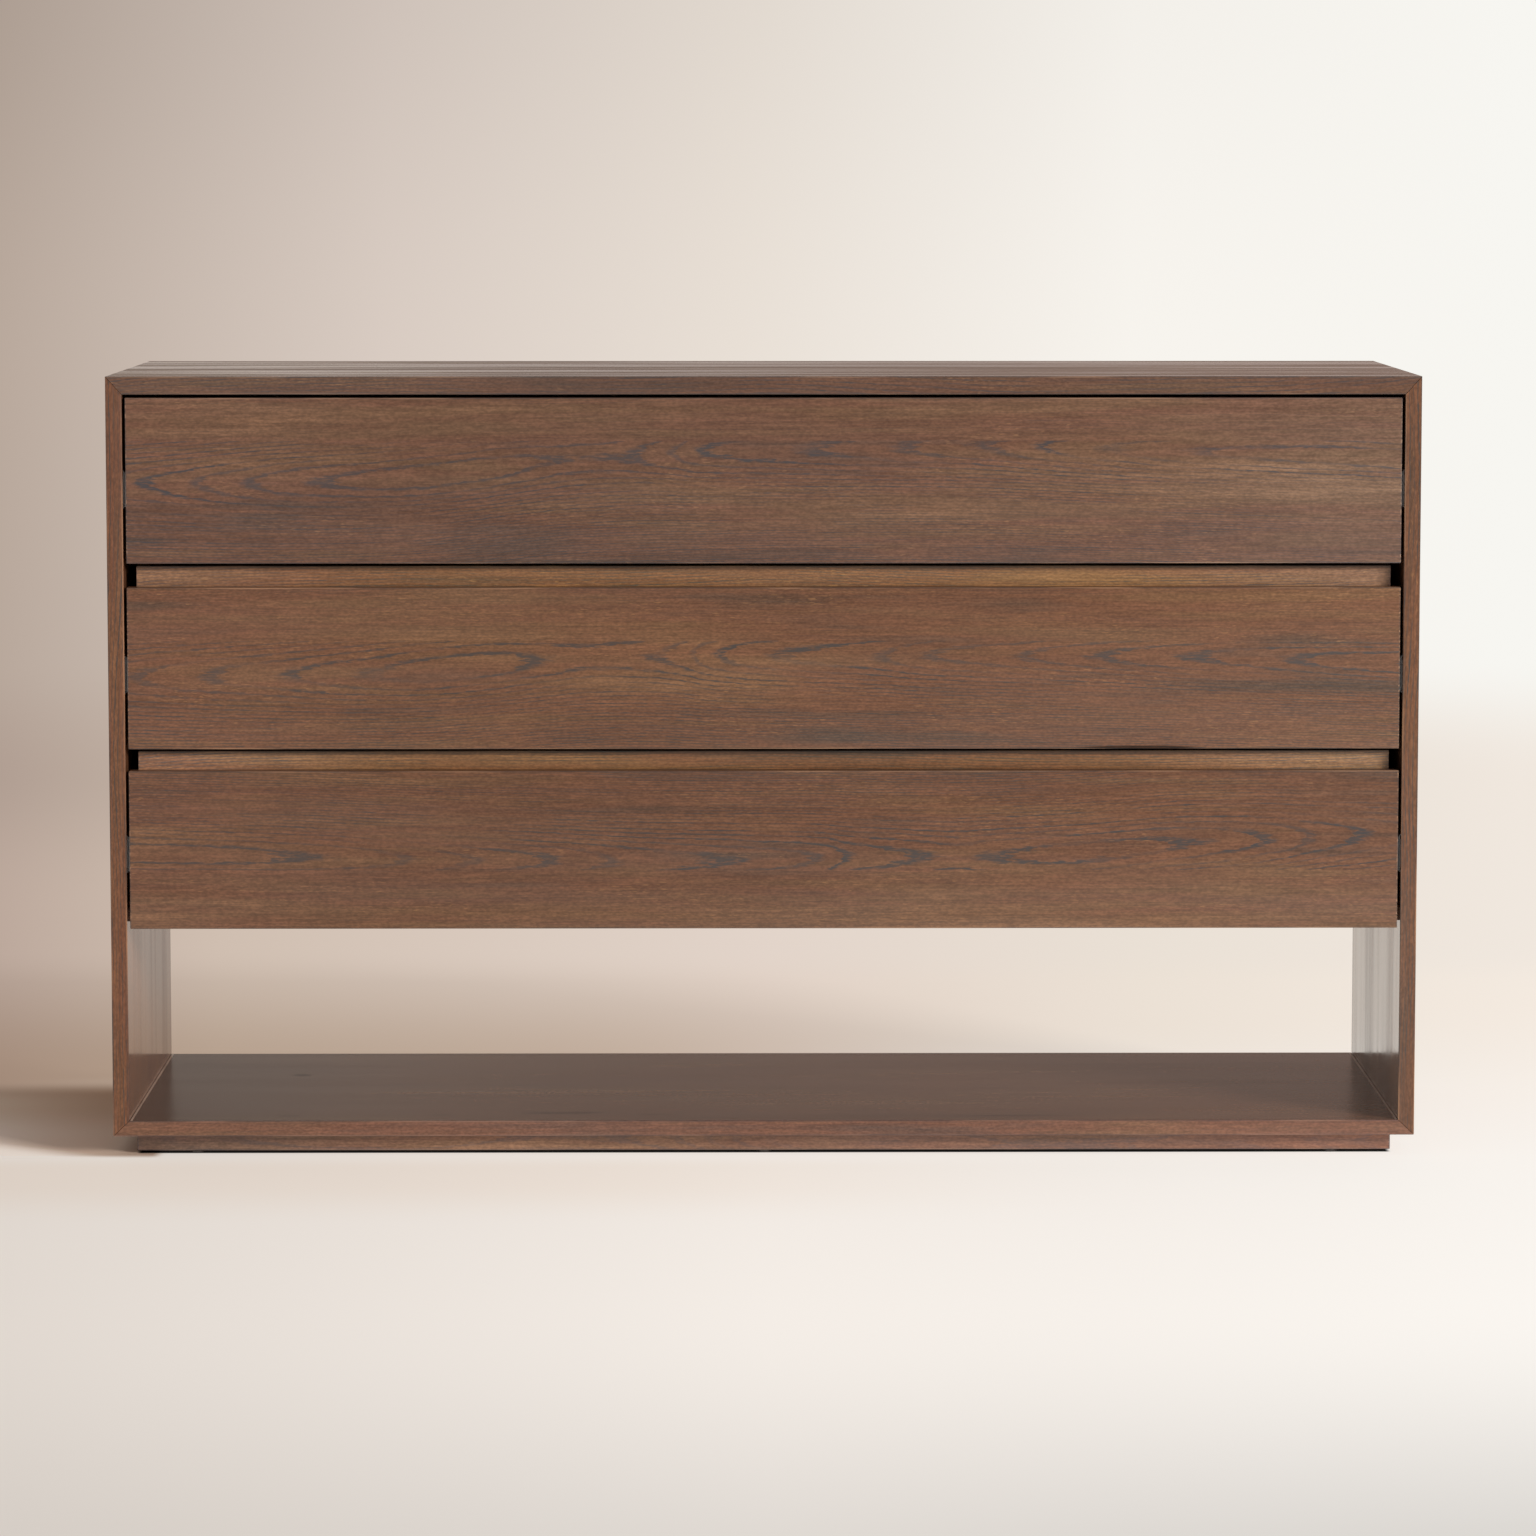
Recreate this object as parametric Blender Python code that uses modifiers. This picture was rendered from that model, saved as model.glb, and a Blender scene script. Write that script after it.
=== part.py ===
"""A wide dresser: three full-width drawers over an open shelf, in a mitred case on a set-back plinth.

Metres, +Z up. The origin is on the floor under the middle of the case, +X runs to the right as seen
from the front, and the drawers open towards -Y. Each drawer is a dovetailed box behind an applied front,
and hangs on a pair of three-member ball-bearing slides. There are no handles: a drawer is pulled by the
bevelled lower edge of its front, through the gap above the next drawer.
"""

import math

import bmesh
import bpy
from mathutils import Matrix, Vector

# Case
WIDTH = 1.524
DEPTH = 0.4572
HEIGHT = 0.9144
TOP_THICK = 0.021
SIDE_THICK = 0.019
SHELF_THICK = 0.018
FLOOR_THICK = 0.016
FLOOR_SETBACK = 0.045
FLOOR_RISE = 0.0022
HOUSING_DEPTH = 0.006
BACK_THICK = 0.006
RABBET_DEPTH = 0.008

# Plinth and glides
PLINTH_HEIGHT = 0.022
PLINTH_THICK = 0.019
PLINTH_INSET = 0.025
GLIDE_HEIGHT = 0.003
GLIDE_RADIUS = 0.009
GLIDE_ROUND = 0.001
GLIDE_PIN_RADIUS = 0.00125
GLIDE_PIN_LENGTH = 0.012
GLIDE_INSET = 0.070

# Drawer fronts, from the top down
FRONT_THICK = 0.019
FRONT_HEIGHTS = {"top": 0.1922, "middle": 0.1886, "bottom": 0.1851}
TOP_REVEAL = 0.0038
SIDE_REVEAL = 0.0035
FINGER_GAPS = {"top": 0.0280, "middle": 0.0257}
BEVEL_HEIGHT = 0.016
BEVEL_DEPTH = 0.009

# Drawer boxes
BOX_RISE = 0.030
BOX_HEADROOM = 0.012
STRIP_CLEARANCE = 0.004
BOX_FRONT_THICK = 0.016
BOX_SIDE_THICK = 0.012
BOX_BACK_THICK = 0.012
BOX_REAR_CLEARANCE = 0.022
BOTTOM_THICK = 0.006
GROOVE_RISE = 0.010
GROOVE_DEPTH = 0.006
BATTEN_THICK = 0.009
BATTEN_WIDTH = 0.045

# Dovetails between the sides and the front and back of a box
TAIL_PITCH = 0.036
TAIL_SLOPE = 1 / 7
PIN_WIDTH = 0.008
LAP_THICK = 0.005

# Slides
SLIDE_SPACE = 0.0127
SLIDE_RISE = 0.055
SLIDE_SETBACK = 0.003
SLIDE_HEIGHT = 0.045
STEEL = 0.0012
BALL_RADIUS = 0.002
BALL_CLEARANCE = 0.0003
BALL_SEAT = 0.0004
BALLS_IN_ROW = 3
BALL_PITCH = 0.030
BALL_SIDES = 6
BEND_RADIUS = 0.0016
MEMBER_CLEARANCE = 0.0004
SCREW_HOLE_RADIUS = 0.00225
SCREW_HOLE_INSET = 0.035

# Fits and edges
SEAT = 0.0003
EDGE_EASE = 0.0008
MITRE_EASE = 0.0003
OVERCUT = 0.005
ROUND_SIDES = 12
ARC_STEP = 28

# Worked out from the sizes above
FRONT_Y = -DEPTH / 2
BASE_Z = GLIDE_HEIGHT + PLINTH_HEIGHT
SHELF_Z = BASE_Z + SHELF_THICK
TOP_Z = HEIGHT - TOP_THICK
INNER_X = WIDTH / 2 - SIDE_THICK
PLINTH_X = WIDTH / 2 - PLINTH_INSET
PLINTH_Y = DEPTH / 2 - PLINTH_INSET
BACK_Y = DEPTH / 2 - BACK_THICK - 2 * SEAT
BOX_X = INNER_X - SLIDE_SPACE
BOX_Y = FRONT_THICK + SEAT
BOX_DEPTH = BACK_Y - BOX_REAR_CLEARANCE - FRONT_Y - BOX_Y
SLIDE_LENGTH = BOX_DEPTH - 2 * SLIDE_SETBACK
DRAWERS = ("top", "middle", "bottom")

# Colour, roughness and metallic value of each finish
STAINED_OAK = ((0.165, 0.090, 0.058), 0.42, 0.0)
STAINED_STRIP = ((0.205, 0.110, 0.065), 0.45, 0.0)
STAINED_BACK = ((0.120, 0.070, 0.048), 0.60, 0.0)
CLEAR_BIRCH = ((0.560, 0.400, 0.250), 0.50, 0.0)
ZINC_STEEL = ((0.620, 0.630, 0.640), 0.35, 1.0)
DARK_NYLON = ((0.035, 0.028, 0.024), 0.55, 0.0)


def clear_scene():
    for obj in list(bpy.data.objects):
        bpy.data.objects.remove(obj, do_unlink=True)


def new_collection(name):
    made = bpy.data.collections.new(name)
    bpy.context.scene.collection.children.link(made)
    return made


clear_scene()
parts = new_collection("dresser")
cutters = new_collection("dresser_cutters")


def body_empty(name, location=(0, 0, 0)):
    """An empty that carries the pieces of one body."""
    empty = bpy.data.objects.new(name, None)
    empty.empty_display_size = 0.05
    empty.location = location
    parts.objects.link(empty)
    return empty


def add_part(name, mesh, parent, finish):
    """A sub-part with its own material, carried by its body's empty."""
    obj = bpy.data.objects.new(name, mesh)
    parts.objects.link(obj)
    obj.parent = parent
    colour, roughness, metallic = finish
    material = bpy.data.materials.new(name)
    material.use_nodes = True
    shader = material.node_tree.nodes["Principled BSDF"]
    shader.inputs["Base Color"].default_value = (*colour, 1)
    shader.inputs["Roughness"].default_value = roughness
    shader.inputs["Metallic"].default_value = metallic
    material.diffuse_color = (*colour, 1)
    # The material goes on the object, because copies of a slide member share a mesh.
    if not mesh.materials:
        mesh.materials.append(None)
    obj.material_slots[0].link = "OBJECT"
    obj.material_slots[0].material = material
    return obj


def add_cutter(name, mesh, parent=None):
    """A helper that cuts or joins other pieces, and is no piece itself."""
    obj = bpy.data.objects.new(name, mesh)
    cutters.objects.link(obj)
    obj.parent = parent
    obj.display_type = "WIRE"
    obj.hide_render = True
    return obj


def box_mesh(name, size):
    mesh = bpy.data.meshes.new(name)
    work = bmesh.new()
    bmesh.ops.create_cube(work, size=1)
    bmesh.ops.scale(work, vec=size, verts=work.verts)
    weights = work.edges.layers.float.new("bevel_weight_edge")
    for edge in work.edges:
        edge[weights] = 1
    work.to_mesh(mesh)
    work.free()
    return mesh


def board(name, low, high, parent, finish):
    """A square-edged board between its lowest and its highest corner, in its body's frame."""
    low, high = Vector(low), Vector(high)
    obj = add_part(name, box_mesh(name, high - low), parent, finish)
    obj.location = (low + high) / 2
    return obj


def box_cutter(name, low, high, parent):
    low, high = Vector(low), Vector(high)
    obj = add_cutter(name, box_mesh(name, high - low), parent)
    obj.location = (low + high) / 2
    return obj


def cylinder_cutter(name, radius, length, location, parent):
    mesh = bpy.data.meshes.new(name)
    work = bmesh.new()
    bmesh.ops.create_cone(
        work, cap_ends=True, segments=ROUND_SIDES, radius1=radius, radius2=radius, depth=length
    )
    work.to_mesh(mesh)
    work.free()
    obj = add_cutter(name, mesh, parent)
    obj.location = location
    return obj


def saw_cut(obj, point, normal, ease=1.0):
    """Cuts off what lies on the normal's side of a plane, closes the cut, and eases its edges by a share."""
    work = bmesh.new()
    work.from_mesh(obj.data)
    everything = work.verts[:] + work.edges[:] + work.faces[:]
    cut = bmesh.ops.bisect_plane(
        work,
        geom=everything,
        plane_co=Vector(point) - obj.location,
        plane_no=normal,
        clear_outer=True,
    )
    rim = [part for part in cut["geom_cut"] if isinstance(part, bmesh.types.BMEdge)]
    bmesh.ops.contextual_create(work, geom=rim)
    weights = work.edges.layers.float["bevel_weight_edge"]
    for edge in rim:
        edge[weights] = ease
    bmesh.ops.recalc_face_normals(work, faces=work.faces)
    work.to_mesh(obj.data)
    work.free()


def mitre_cut(obj, outer, inner, along):
    """Saws a board to the mitre plane through an outer and an inner corner, half a seat short of it."""
    outer, inner = Vector(outer), Vector(inner)
    normal = (inner - outer).cross(Vector(along)).normalized()
    if normal.dot(outer - obj.location) < 0:
        normal.negate()
    saw_cut(obj, outer - normal * SEAT / 2, normal, MITRE_EASE / EDGE_EASE)


def ease_edges(obj, segments=1):
    bevel = obj.modifiers.new("eased_edges", "BEVEL")
    bevel.limit_method = "WEIGHT"
    bevel.width = EDGE_EASE
    bevel.segments = segments


def cut_with(obj, *tools):
    for tool in tools:
        cut = obj.modifiers.new(tool.name, "BOOLEAN")
        cut.operation = "DIFFERENCE"
        cut.solver = "EXACT"
        cut.object = tool


def evaluated_mesh(obj, name):
    """The object's mesh with its modifiers applied, in its own frame."""
    bpy.context.view_layer.update()
    graph = bpy.context.evaluated_depsgraph_get()
    mesh = bpy.data.meshes.new_from_object(obj.evaluated_get(graph))
    mesh.name = name
    return mesh


def outline_mesh(name, outline, thickness):
    """A flat outline in the XY plane, as thick as the board and centred on that plane."""
    curve = bpy.data.curves.new(name + "_outline", "CURVE")
    curve.dimensions = "2D"
    curve.fill_mode = "BOTH"
    curve.extrude = thickness / 2
    spline = curve.splines.new("POLY")
    spline.points.add(len(outline) - 1)
    for point, (x, y) in zip(spline.points, outline):
        point.co = (x, y, 0, 1)
    spline.use_cyclic_u = True
    drawn = bpy.data.objects.new(curve.name, curve)
    cutters.objects.link(drawn)
    mesh = evaluated_mesh(drawn, name)
    bpy.data.objects.remove(drawn)
    bpy.data.curves.remove(curve)
    work = bmesh.new()
    work.from_mesh(mesh)
    bmesh.ops.remove_doubles(work, verts=work.verts, dist=1e-6)
    bmesh.ops.recalc_face_normals(work, faces=work.faces)
    work.to_mesh(mesh)
    work.free()
    return mesh


# An outline drawn in XY stands up with its x along +Y, its y along +Z and its thickness along X.
UPRIGHT = (math.pi / 2, 0, math.pi / 2)


case = body_empty("case")


def make_case_frame():
    """Four boards in a mitred frame. Their grain would run round it, so the joints show as thin lines."""
    half_w, half_d = WIDTH / 2, DEPTH / 2
    top = board("top_panel", (-half_w, -half_d, TOP_Z), (half_w, half_d, HEIGHT), case, STAINED_OAK)
    shelf = board(
        "shelf_panel", (-half_w, -half_d, BASE_Z), (half_w, half_d, SHELF_Z), case, STAINED_OAK
    )
    sides = []
    for side, name in ((-1, "side_panel_left"), (1, "side_panel_right")):
        edges = sorted((side * half_w, side * INNER_X))
        panel = board(
            name, (edges[0], -half_d, BASE_Z), (edges[1], half_d, HEIGHT), case, STAINED_OAK
        )
        top_corner = ((side * half_w, 0, HEIGHT), (side * INNER_X, 0, TOP_Z))
        low_corner = ((side * half_w, 0, BASE_Z), (side * INNER_X, 0, SHELF_Z))
        for piece, corner in (
            (panel, top_corner),
            (panel, low_corner),
            (top, top_corner),
            (shelf, low_corner),
        ):
            mitre_cut(piece, *corner, along=(0, 1, 0))
        sides.append(panel)
    for piece in (top, shelf, *sides):
        ease_edges(piece, segments=2)
    return top, sides


def make_case_inside(top, sides, floor_z):
    """The drawer floor in its housings, and the back panel in rabbets round the drawers only."""
    floor_y = FRONT_Y + FLOOR_SETBACK
    floor_x = INNER_X + HOUSING_DEPTH
    floor = board(
        "drawer_floor_panel",
        (-floor_x + SEAT, floor_y, floor_z),
        (floor_x - SEAT, BACK_Y, floor_z + FLOOR_THICK),
        case,
        STAINED_OAK,
    )
    ease_edges(floor)
    housing = box_cutter(
        "drawer_floor_housing",
        (-floor_x, floor_y - SEAT, floor_z - SEAT),
        (floor_x, BACK_Y + OVERCUT, floor_z + FLOOR_THICK + SEAT),
        case,
    )
    back_x = INNER_X + RABBET_DEPTH
    back_top = TOP_Z + RABBET_DEPTH
    back_y = BACK_Y + SEAT
    back = board(
        "back_panel",
        (-back_x + SEAT, back_y, floor_z),
        (back_x - SEAT, back_y + BACK_THICK, back_top - SEAT),
        case,
        STAINED_BACK,
    )
    ease_edges(back)
    rabbet = box_cutter(
        "back_rabbet",
        (-back_x, BACK_Y, floor_z - SEAT),
        (back_x, DEPTH / 2 + OVERCUT, back_top),
        case,
    )
    cut_with(top, rabbet)
    for panel in sides:
        cut_with(panel, rabbet, housing)


def glide_mesh():
    """A turned nail-on glide: its pin, its shoulder and its rounded foot, about the Z axis."""
    rim = GLIDE_RADIUS - GLIDE_ROUND
    quarter = [math.radians(angle) for angle in (0, 45, 90)]
    profile = [
        (0, GLIDE_HEIGHT + GLIDE_PIN_LENGTH),
        (GLIDE_PIN_RADIUS, GLIDE_HEIGHT + GLIDE_PIN_LENGTH),
        (GLIDE_PIN_RADIUS, GLIDE_HEIGHT),
        (GLIDE_RADIUS, GLIDE_HEIGHT),
    ]
    profile += [
        (rim + GLIDE_ROUND * math.cos(angle), GLIDE_ROUND * (1 - math.sin(angle)))
        for angle in quarter
    ]
    profile.append((0, 0))
    mesh = bpy.data.meshes.new("glide")
    mesh.from_pydata(
        [(r, 0, z) for r, z in profile], [(i, i + 1) for i in range(len(profile) - 1)], []
    )
    turned = add_cutter("glide_profile", mesh)
    screw = turned.modifiers.new("turned", "SCREW")
    screw.axis = "Z"
    screw.steps = ROUND_SIDES
    screw.render_steps = ROUND_SIDES
    screw.use_merge_vertices = True
    screw.merge_threshold = 0.00001
    made = evaluated_mesh(turned, "glide")
    bpy.data.objects.remove(turned)
    bpy.data.meshes.remove(mesh)
    made.shade_smooth()
    made.set_sharp_from_angle(angle=math.radians(40))
    return made


def make_plinth():
    """A mitred plinth with a centre rail, set in all round, on six nylon glides."""
    low, high = GLIDE_HEIGHT + SEAT, BASE_Z - SEAT
    inner_x, inner_y = PLINTH_X - PLINTH_THICK, PLINTH_Y - PLINTH_THICK
    runs = {}
    for way, name in ((-1, "front"), (1, "back")):
        ends = sorted((way * PLINTH_Y, way * inner_y))
        runs[name] = board(
            "plinth_" + name,
            (-PLINTH_X, ends[0], low),
            (PLINTH_X, ends[1], high),
            case,
            STAINED_OAK,
        )
    for way, name in ((-1, "left"), (1, "right")):
        ends = sorted((way * PLINTH_X, way * inner_x))
        runs[name] = board(
            "plinth_" + name,
            (ends[0], -PLINTH_Y, low),
            (ends[1], PLINTH_Y, high),
            case,
            STAINED_OAK,
        )
    for x_way, x_name in ((-1, "left"), (1, "right")):
        for y_way, y_name in ((-1, "front"), (1, "back")):
            corner = (
                (x_way * PLINTH_X, y_way * PLINTH_Y, 0),
                (x_way * inner_x, y_way * inner_y, 0),
            )
            mitre_cut(runs[x_name], *corner, along=(0, 0, 1))
            mitre_cut(runs[y_name], *corner, along=(0, 0, 1))
    for run in runs.values():
        ease_edges(run)
    rail = board(
        "plinth_rail",
        (-PLINTH_THICK / 2, -inner_y + SEAT, low),
        (PLINTH_THICK / 2, inner_y - SEAT, high),
        case,
        STAINED_OAK,
    )
    ease_edges(rail)
    glide = glide_mesh()
    reach = PLINTH_X - GLIDE_INSET
    for y_way, y_name in ((-1, "front"), (1, "back")):
        for x, x_name in ((-reach, "left"), (0, "middle"), (reach, "right")):
            foot = add_part(f"glide_{y_name}_{x_name}", glide, case, DARK_NYLON)
            foot.location = (x, y_way * (PLINTH_Y - PLINTH_THICK / 2), 0)
            hole = cylinder_cutter(
                foot.name + "_hole",
                GLIDE_PIN_RADIUS + SEAT,
                2 * (GLIDE_PIN_LENGTH + SEAT),
                (foot.location.x, foot.location.y, GLIDE_HEIGHT),
                case,
            )
            cut_with(runs[y_name], hole)


class DovetailJoint:
    """A row of tails on the end of a side. Distances run from the tails' roots towards their tips."""

    def __init__(self, root_y, way, length, low, high):
        self.root_y, self.way, self.length = root_y, way, length
        self.low, self.high = low, high
        count = max(2, round((high - low) / TAIL_PITCH))
        pitch = (high - low) / count
        self.middles = [low + (i + 0.5) * pitch for i in range(count)]
        self.tip_half = (pitch - PIN_WIDTH) / 2

    def half_width(self, distance):
        return self.tip_half - (self.length - distance) * TAIL_SLOPE

    def edge(self, start, stop, swell=0.0):
        """The toothed edge from the lowest tail up, each tail between two distances and swelled all round."""
        near, far = self.root_y + self.way * start, self.root_y + self.way * stop
        near_half, far_half = self.half_width(start) + swell, self.half_width(stop) + swell
        points = []
        for middle in self.middles:
            points += [
                (near, middle - near_half),
                (far, middle - far_half),
                (far, middle + far_half),
                (near, middle + near_half),
            ]
        return points

    def socket_outline(self, past_tip):
        """The tails with clearance, joined by a spine that stays out of the piece that is cut."""
        near = self.root_y - self.way * OVERCUT
        spine = near - self.way * OVERCUT
        comb = self.edge(-OVERCUT, self.length + past_tip, SEAT)
        return [(spine, self.low), (near, self.low), *comb, (near, self.high), (spine, self.high)]


def make_box(name, height, body):
    """A drawer box: lapped dovetails at the front, through dovetails at the back, and a grooved-in bottom."""
    shift = Vector((0, BOX_Y, BOX_RISE))
    groove_top = GROOVE_RISE + BOTTOM_THICK + 2 * SEAT
    inner_x = BOX_X - BOX_SIDE_THICK
    groove_x = inner_x + GROOVE_DEPTH
    front_joint = DovetailJoint(
        BOX_FRONT_THICK + SEAT, -1, BOX_FRONT_THICK - LAP_THICK, 0, height
    )
    back_joint = DovetailJoint(
        BOX_DEPTH - BOX_BACK_THICK - SEAT, 1, BOX_BACK_THICK + SEAT, groove_top, height
    )
    step = groove_top - SEAT
    side_outline = [
        (front_joint.root_y, 0),
        *front_joint.edge(0, front_joint.length),
        (front_joint.root_y, height),
        (back_joint.root_y, height),
        *reversed(back_joint.edge(0, back_joint.length)),
        (back_joint.root_y, step),
        (BOX_DEPTH, step),
        (BOX_DEPTH, 0),
    ]
    groove = box_cutter(
        name + "_bottom_groove",
        shift + Vector((-groove_x, BOX_FRONT_THICK - GROOVE_DEPTH, GROOVE_RISE)),
        shift + Vector((groove_x, BOX_DEPTH + OVERCUT, groove_top)),
        body,
    )
    front = board(
        name + "_box_front",
        shift + Vector((-BOX_X, 0, 0)),
        shift + Vector((BOX_X, BOX_FRONT_THICK, height)),
        body,
        STAINED_STRIP,
    )
    ease_edges(front, segments=2)
    cut_with(front, groove)
    back = board(
        name + "_box_back",
        shift + Vector((-BOX_X, BOX_DEPTH - BOX_BACK_THICK, groove_top)),
        shift + Vector((BOX_X, BOX_DEPTH, height)),
        body,
        CLEAR_BIRCH,
    )
    socket_thick = BOX_SIDE_THICK + OVERCUT
    for way, side_name in ((-1, "left"), (1, "right")):
        side = add_part(
            f"{name}_side_{side_name}",
            outline_mesh(f"{name}_side_{side_name}", side_outline, BOX_SIDE_THICK),
            body,
            CLEAR_BIRCH,
        )
        side.location = shift + Vector((way * (BOX_X - BOX_SIDE_THICK / 2), 0, 0))
        side.rotation_euler = UPRIGHT
        cut_with(side, groove)
        for joint, past_tip, mate in ((front_joint, SEAT, front), (back_joint, OVERCUT, back)):
            tool_name = f"{mate.name}_sockets_{side_name}"
            tool = add_cutter(
                tool_name,
                outline_mesh(tool_name, joint.socket_outline(past_tip), socket_thick),
                body,
            )
            tool.location = shift + Vector((way * (inner_x - SEAT + socket_thick / 2), 0, 0))
            tool.rotation_euler = UPRIGHT
            cut_with(mate, tool)
    panel_low = GROOVE_RISE + SEAT
    board(
        name + "_base",
        shift + Vector((-groove_x + SEAT, BOX_FRONT_THICK - GROOVE_DEPTH + SEAT, panel_low)),
        shift + Vector((groove_x - SEAT, BOX_DEPTH, panel_low + BOTTOM_THICK)),
        body,
        CLEAR_BIRCH,
    )
    batten_top = panel_low - SEAT
    batten = board(
        name + "_batten",
        shift + Vector((-BATTEN_WIDTH / 2, BOX_FRONT_THICK + SEAT, batten_top - BATTEN_THICK)),
        shift + Vector((BATTEN_WIDTH / 2, BOX_DEPTH, batten_top)),
        body,
        CLEAR_BIRCH,
    )
    ease_edges(batten)


def make_applied_front(name, height, body):
    """The applied front. Its lower rear edge is bevelled so that fingers can hook behind it."""
    half = INNER_X - SIDE_REVEAL
    front = board(
        name + "_front", (-half, 0, 0), (half, FRONT_THICK, height), body, STAINED_OAK
    )
    slope = Vector((0, BEVEL_HEIGHT, -BEVEL_DEPTH)).normalized()
    saw_cut(front, (0, FRONT_THICK, BEVEL_HEIGHT), slope)
    ease_edges(front, segments=2)


def arc(centre, radius, start, stop):
    """Points along an arc from one angle to another, in degrees, as close together as a bend needs."""
    steps = max(1, math.ceil(abs(stop - start) / ARC_STEP))
    angles = [math.radians(start + (stop - start) * i / steps) for i in range(steps + 1)]
    return [
        (centre[0] + radius * math.cos(angle), centre[1] + radius * math.sin(angle))
        for angle in angles
    ]


def slide_profiles():
    """Centre lines of the three members' upper halves, and the middles of the two balls between them.

    The case member curls over the outer ball. The runner's flange starts from its own web, dips under
    the outer ball and, after an inflection, curls over the inner ball. The drawer member's flange lies
    under the inner ball and bends down into its web against the drawer.
    """
    sheet = STEEL / 2
    free_race = BALL_RADIUS + BALL_CLEARANCE + sheet
    held_race = BALL_RADIUS - BALL_SEAT + sheet
    case_web = SEAT + sheet
    outer_ball = (case_web + free_race, SLIDE_HEIGHT / 2 - sheet - free_race)
    case_member = arc(outer_ball, free_race, 180, 40)
    runner_web = case_web + STEEL + MEMBER_CLEARANCE
    flange = outer_ball[1] - held_race
    bend = (runner_web + BEND_RADIUS, flange - BEND_RADIUS)
    turn = 320
    outer_race = arc(outer_ball, held_race, 290, turn)
    way = math.radians(turn)
    inner_ball = (
        outer_ball[0] + 2 * held_race * math.cos(way),
        outer_ball[1] + 2 * held_race * math.sin(way),
    )
    runner = arc(bend, BEND_RADIUS, 180, 90) + outer_race + arc(inner_ball, held_race, turn - 180, 30)[1:]
    drawer_web = SLIDE_SPACE - SEAT - sheet
    low = inner_ball[1] - free_race
    corner = (drawer_web - BEND_RADIUS, low - BEND_RADIUS)
    drawer_member = arc(corner, BEND_RADIUS, 0, 90) + arc(inner_ball, free_race, 270, 215)
    return case_member, runner, drawer_member, (outer_ball, inner_ball)


def member_mesh(name, upper_half, holes_at=None, balls=()):
    """A rolled steel member: its profile run from front to back, given the steel's thickness.

    holes_at is the place of its web when it is drilled for screws. Balls are (middle, first Y) rows, and
    each ball beds a little into the member.
    """
    profile = [(u, -v) for u, v in reversed(upper_half)] + list(upper_half)
    mesh = bpy.data.meshes.new(name)
    work = bmesh.new()
    points = [work.verts.new((u, 0, v)) for u, v in profile]
    lines = [work.edges.new(pair) for pair in zip(points, points[1:])]
    run = bmesh.ops.extrude_edge_only(work, edges=lines)["geom"]
    moved = [item for item in run if isinstance(item, bmesh.types.BMVert)]
    bmesh.ops.translate(work, verts=moved, vec=(0, SLIDE_LENGTH, 0))
    work.to_mesh(mesh)
    work.free()
    member = add_cutter(name, mesh)
    sheet = member.modifiers.new("steel", "SOLIDIFY")
    sheet.thickness = STEEL
    sheet.offset = 0
    sheet.use_even_offset = True
    helpers = []
    if holes_at is not None:
        for y in (SCREW_HOLE_INSET, SLIDE_LENGTH / 2, SLIDE_LENGTH - SCREW_HOLE_INSET):
            hole = cylinder_cutter(
                f"{name}_hole", SCREW_HOLE_RADIUS, 4 * STEEL, (holes_at, y, 0), None
            )
            hole.rotation_euler = (0, math.pi / 2, 0)
            helpers.append(hole)
        cut_with(member, *helpers)
    if balls:
        helpers.append(ball_rows(name + "_balls", balls))
        join = member.modifiers.new("balls", "BOOLEAN")
        join.operation = "UNION"
        join.solver = "EXACT"
        join.object = helpers[-1]
    made = evaluated_mesh(member, name)
    for helper in (member, *helpers):
        used = helper.data
        bpy.data.objects.remove(helper)
        bpy.data.meshes.remove(used)
    made.shade_smooth()
    made.set_sharp_from_angle(angle=math.radians(35))
    return made


def ball_rows(name, rows):
    mesh = bpy.data.meshes.new(name)
    work = bmesh.new()
    for (u, v), first in rows:
        for height in (v, -v):
            for i in range(BALLS_IN_ROW):
                bmesh.ops.create_uvsphere(
                    work,
                    u_segments=BALL_SIDES,
                    v_segments=4,
                    radius=BALL_RADIUS,
                    matrix=Matrix.Translation((u, first + i * BALL_PITCH, height)),
                )
    work.to_mesh(mesh)
    work.free()
    return add_cutter(name, mesh)


def slide_meshes():
    """The three members of one slide, with u from the case side towards the drawer and Y from its front."""
    case_member, runner, drawer_member, (outer_ball, inner_ball) = slide_profiles()
    row = (BALLS_IN_ROW - 1) * BALL_PITCH
    # The outer rows stay inside the case member, and the inner rows inside the drawer member, when open.
    rear_row = SLIDE_LENGTH - SCREW_HOLE_INSET - row
    return (
        member_mesh("slide_case", case_member, holes_at=case_member[0][0]),
        member_mesh(
            "slide_runner", runner, balls=((outer_ball, rear_row), (inner_ball, SCREW_HOLE_INSET))
        ),
        member_mesh("slide_drawer", drawer_member, holes_at=drawer_member[0][0]),
    )


def make_slides(name, level, runners, drawer, meshes):
    """A pair of slides at one level. The right one is the left one turned over about its length."""
    start_y = FRONT_Y + BOX_Y + SLIDE_SETBACK
    for way, side_name in ((-1, "left"), (1, "right")):
        for member, mesh, body in (
            ("case", meshes[0], case),
            ("runner", meshes[1], runners),
            ("drawer", meshes[2], drawer),
        ):
            piece = add_part(f"slide_{member}_{name}_{side_name}", mesh, body, ZINC_STEEL)
            piece.location = Vector((way * INNER_X, start_y, level)) - body.location
            if way > 0:
                piece.rotation_euler = (0, math.pi, 0)


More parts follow.
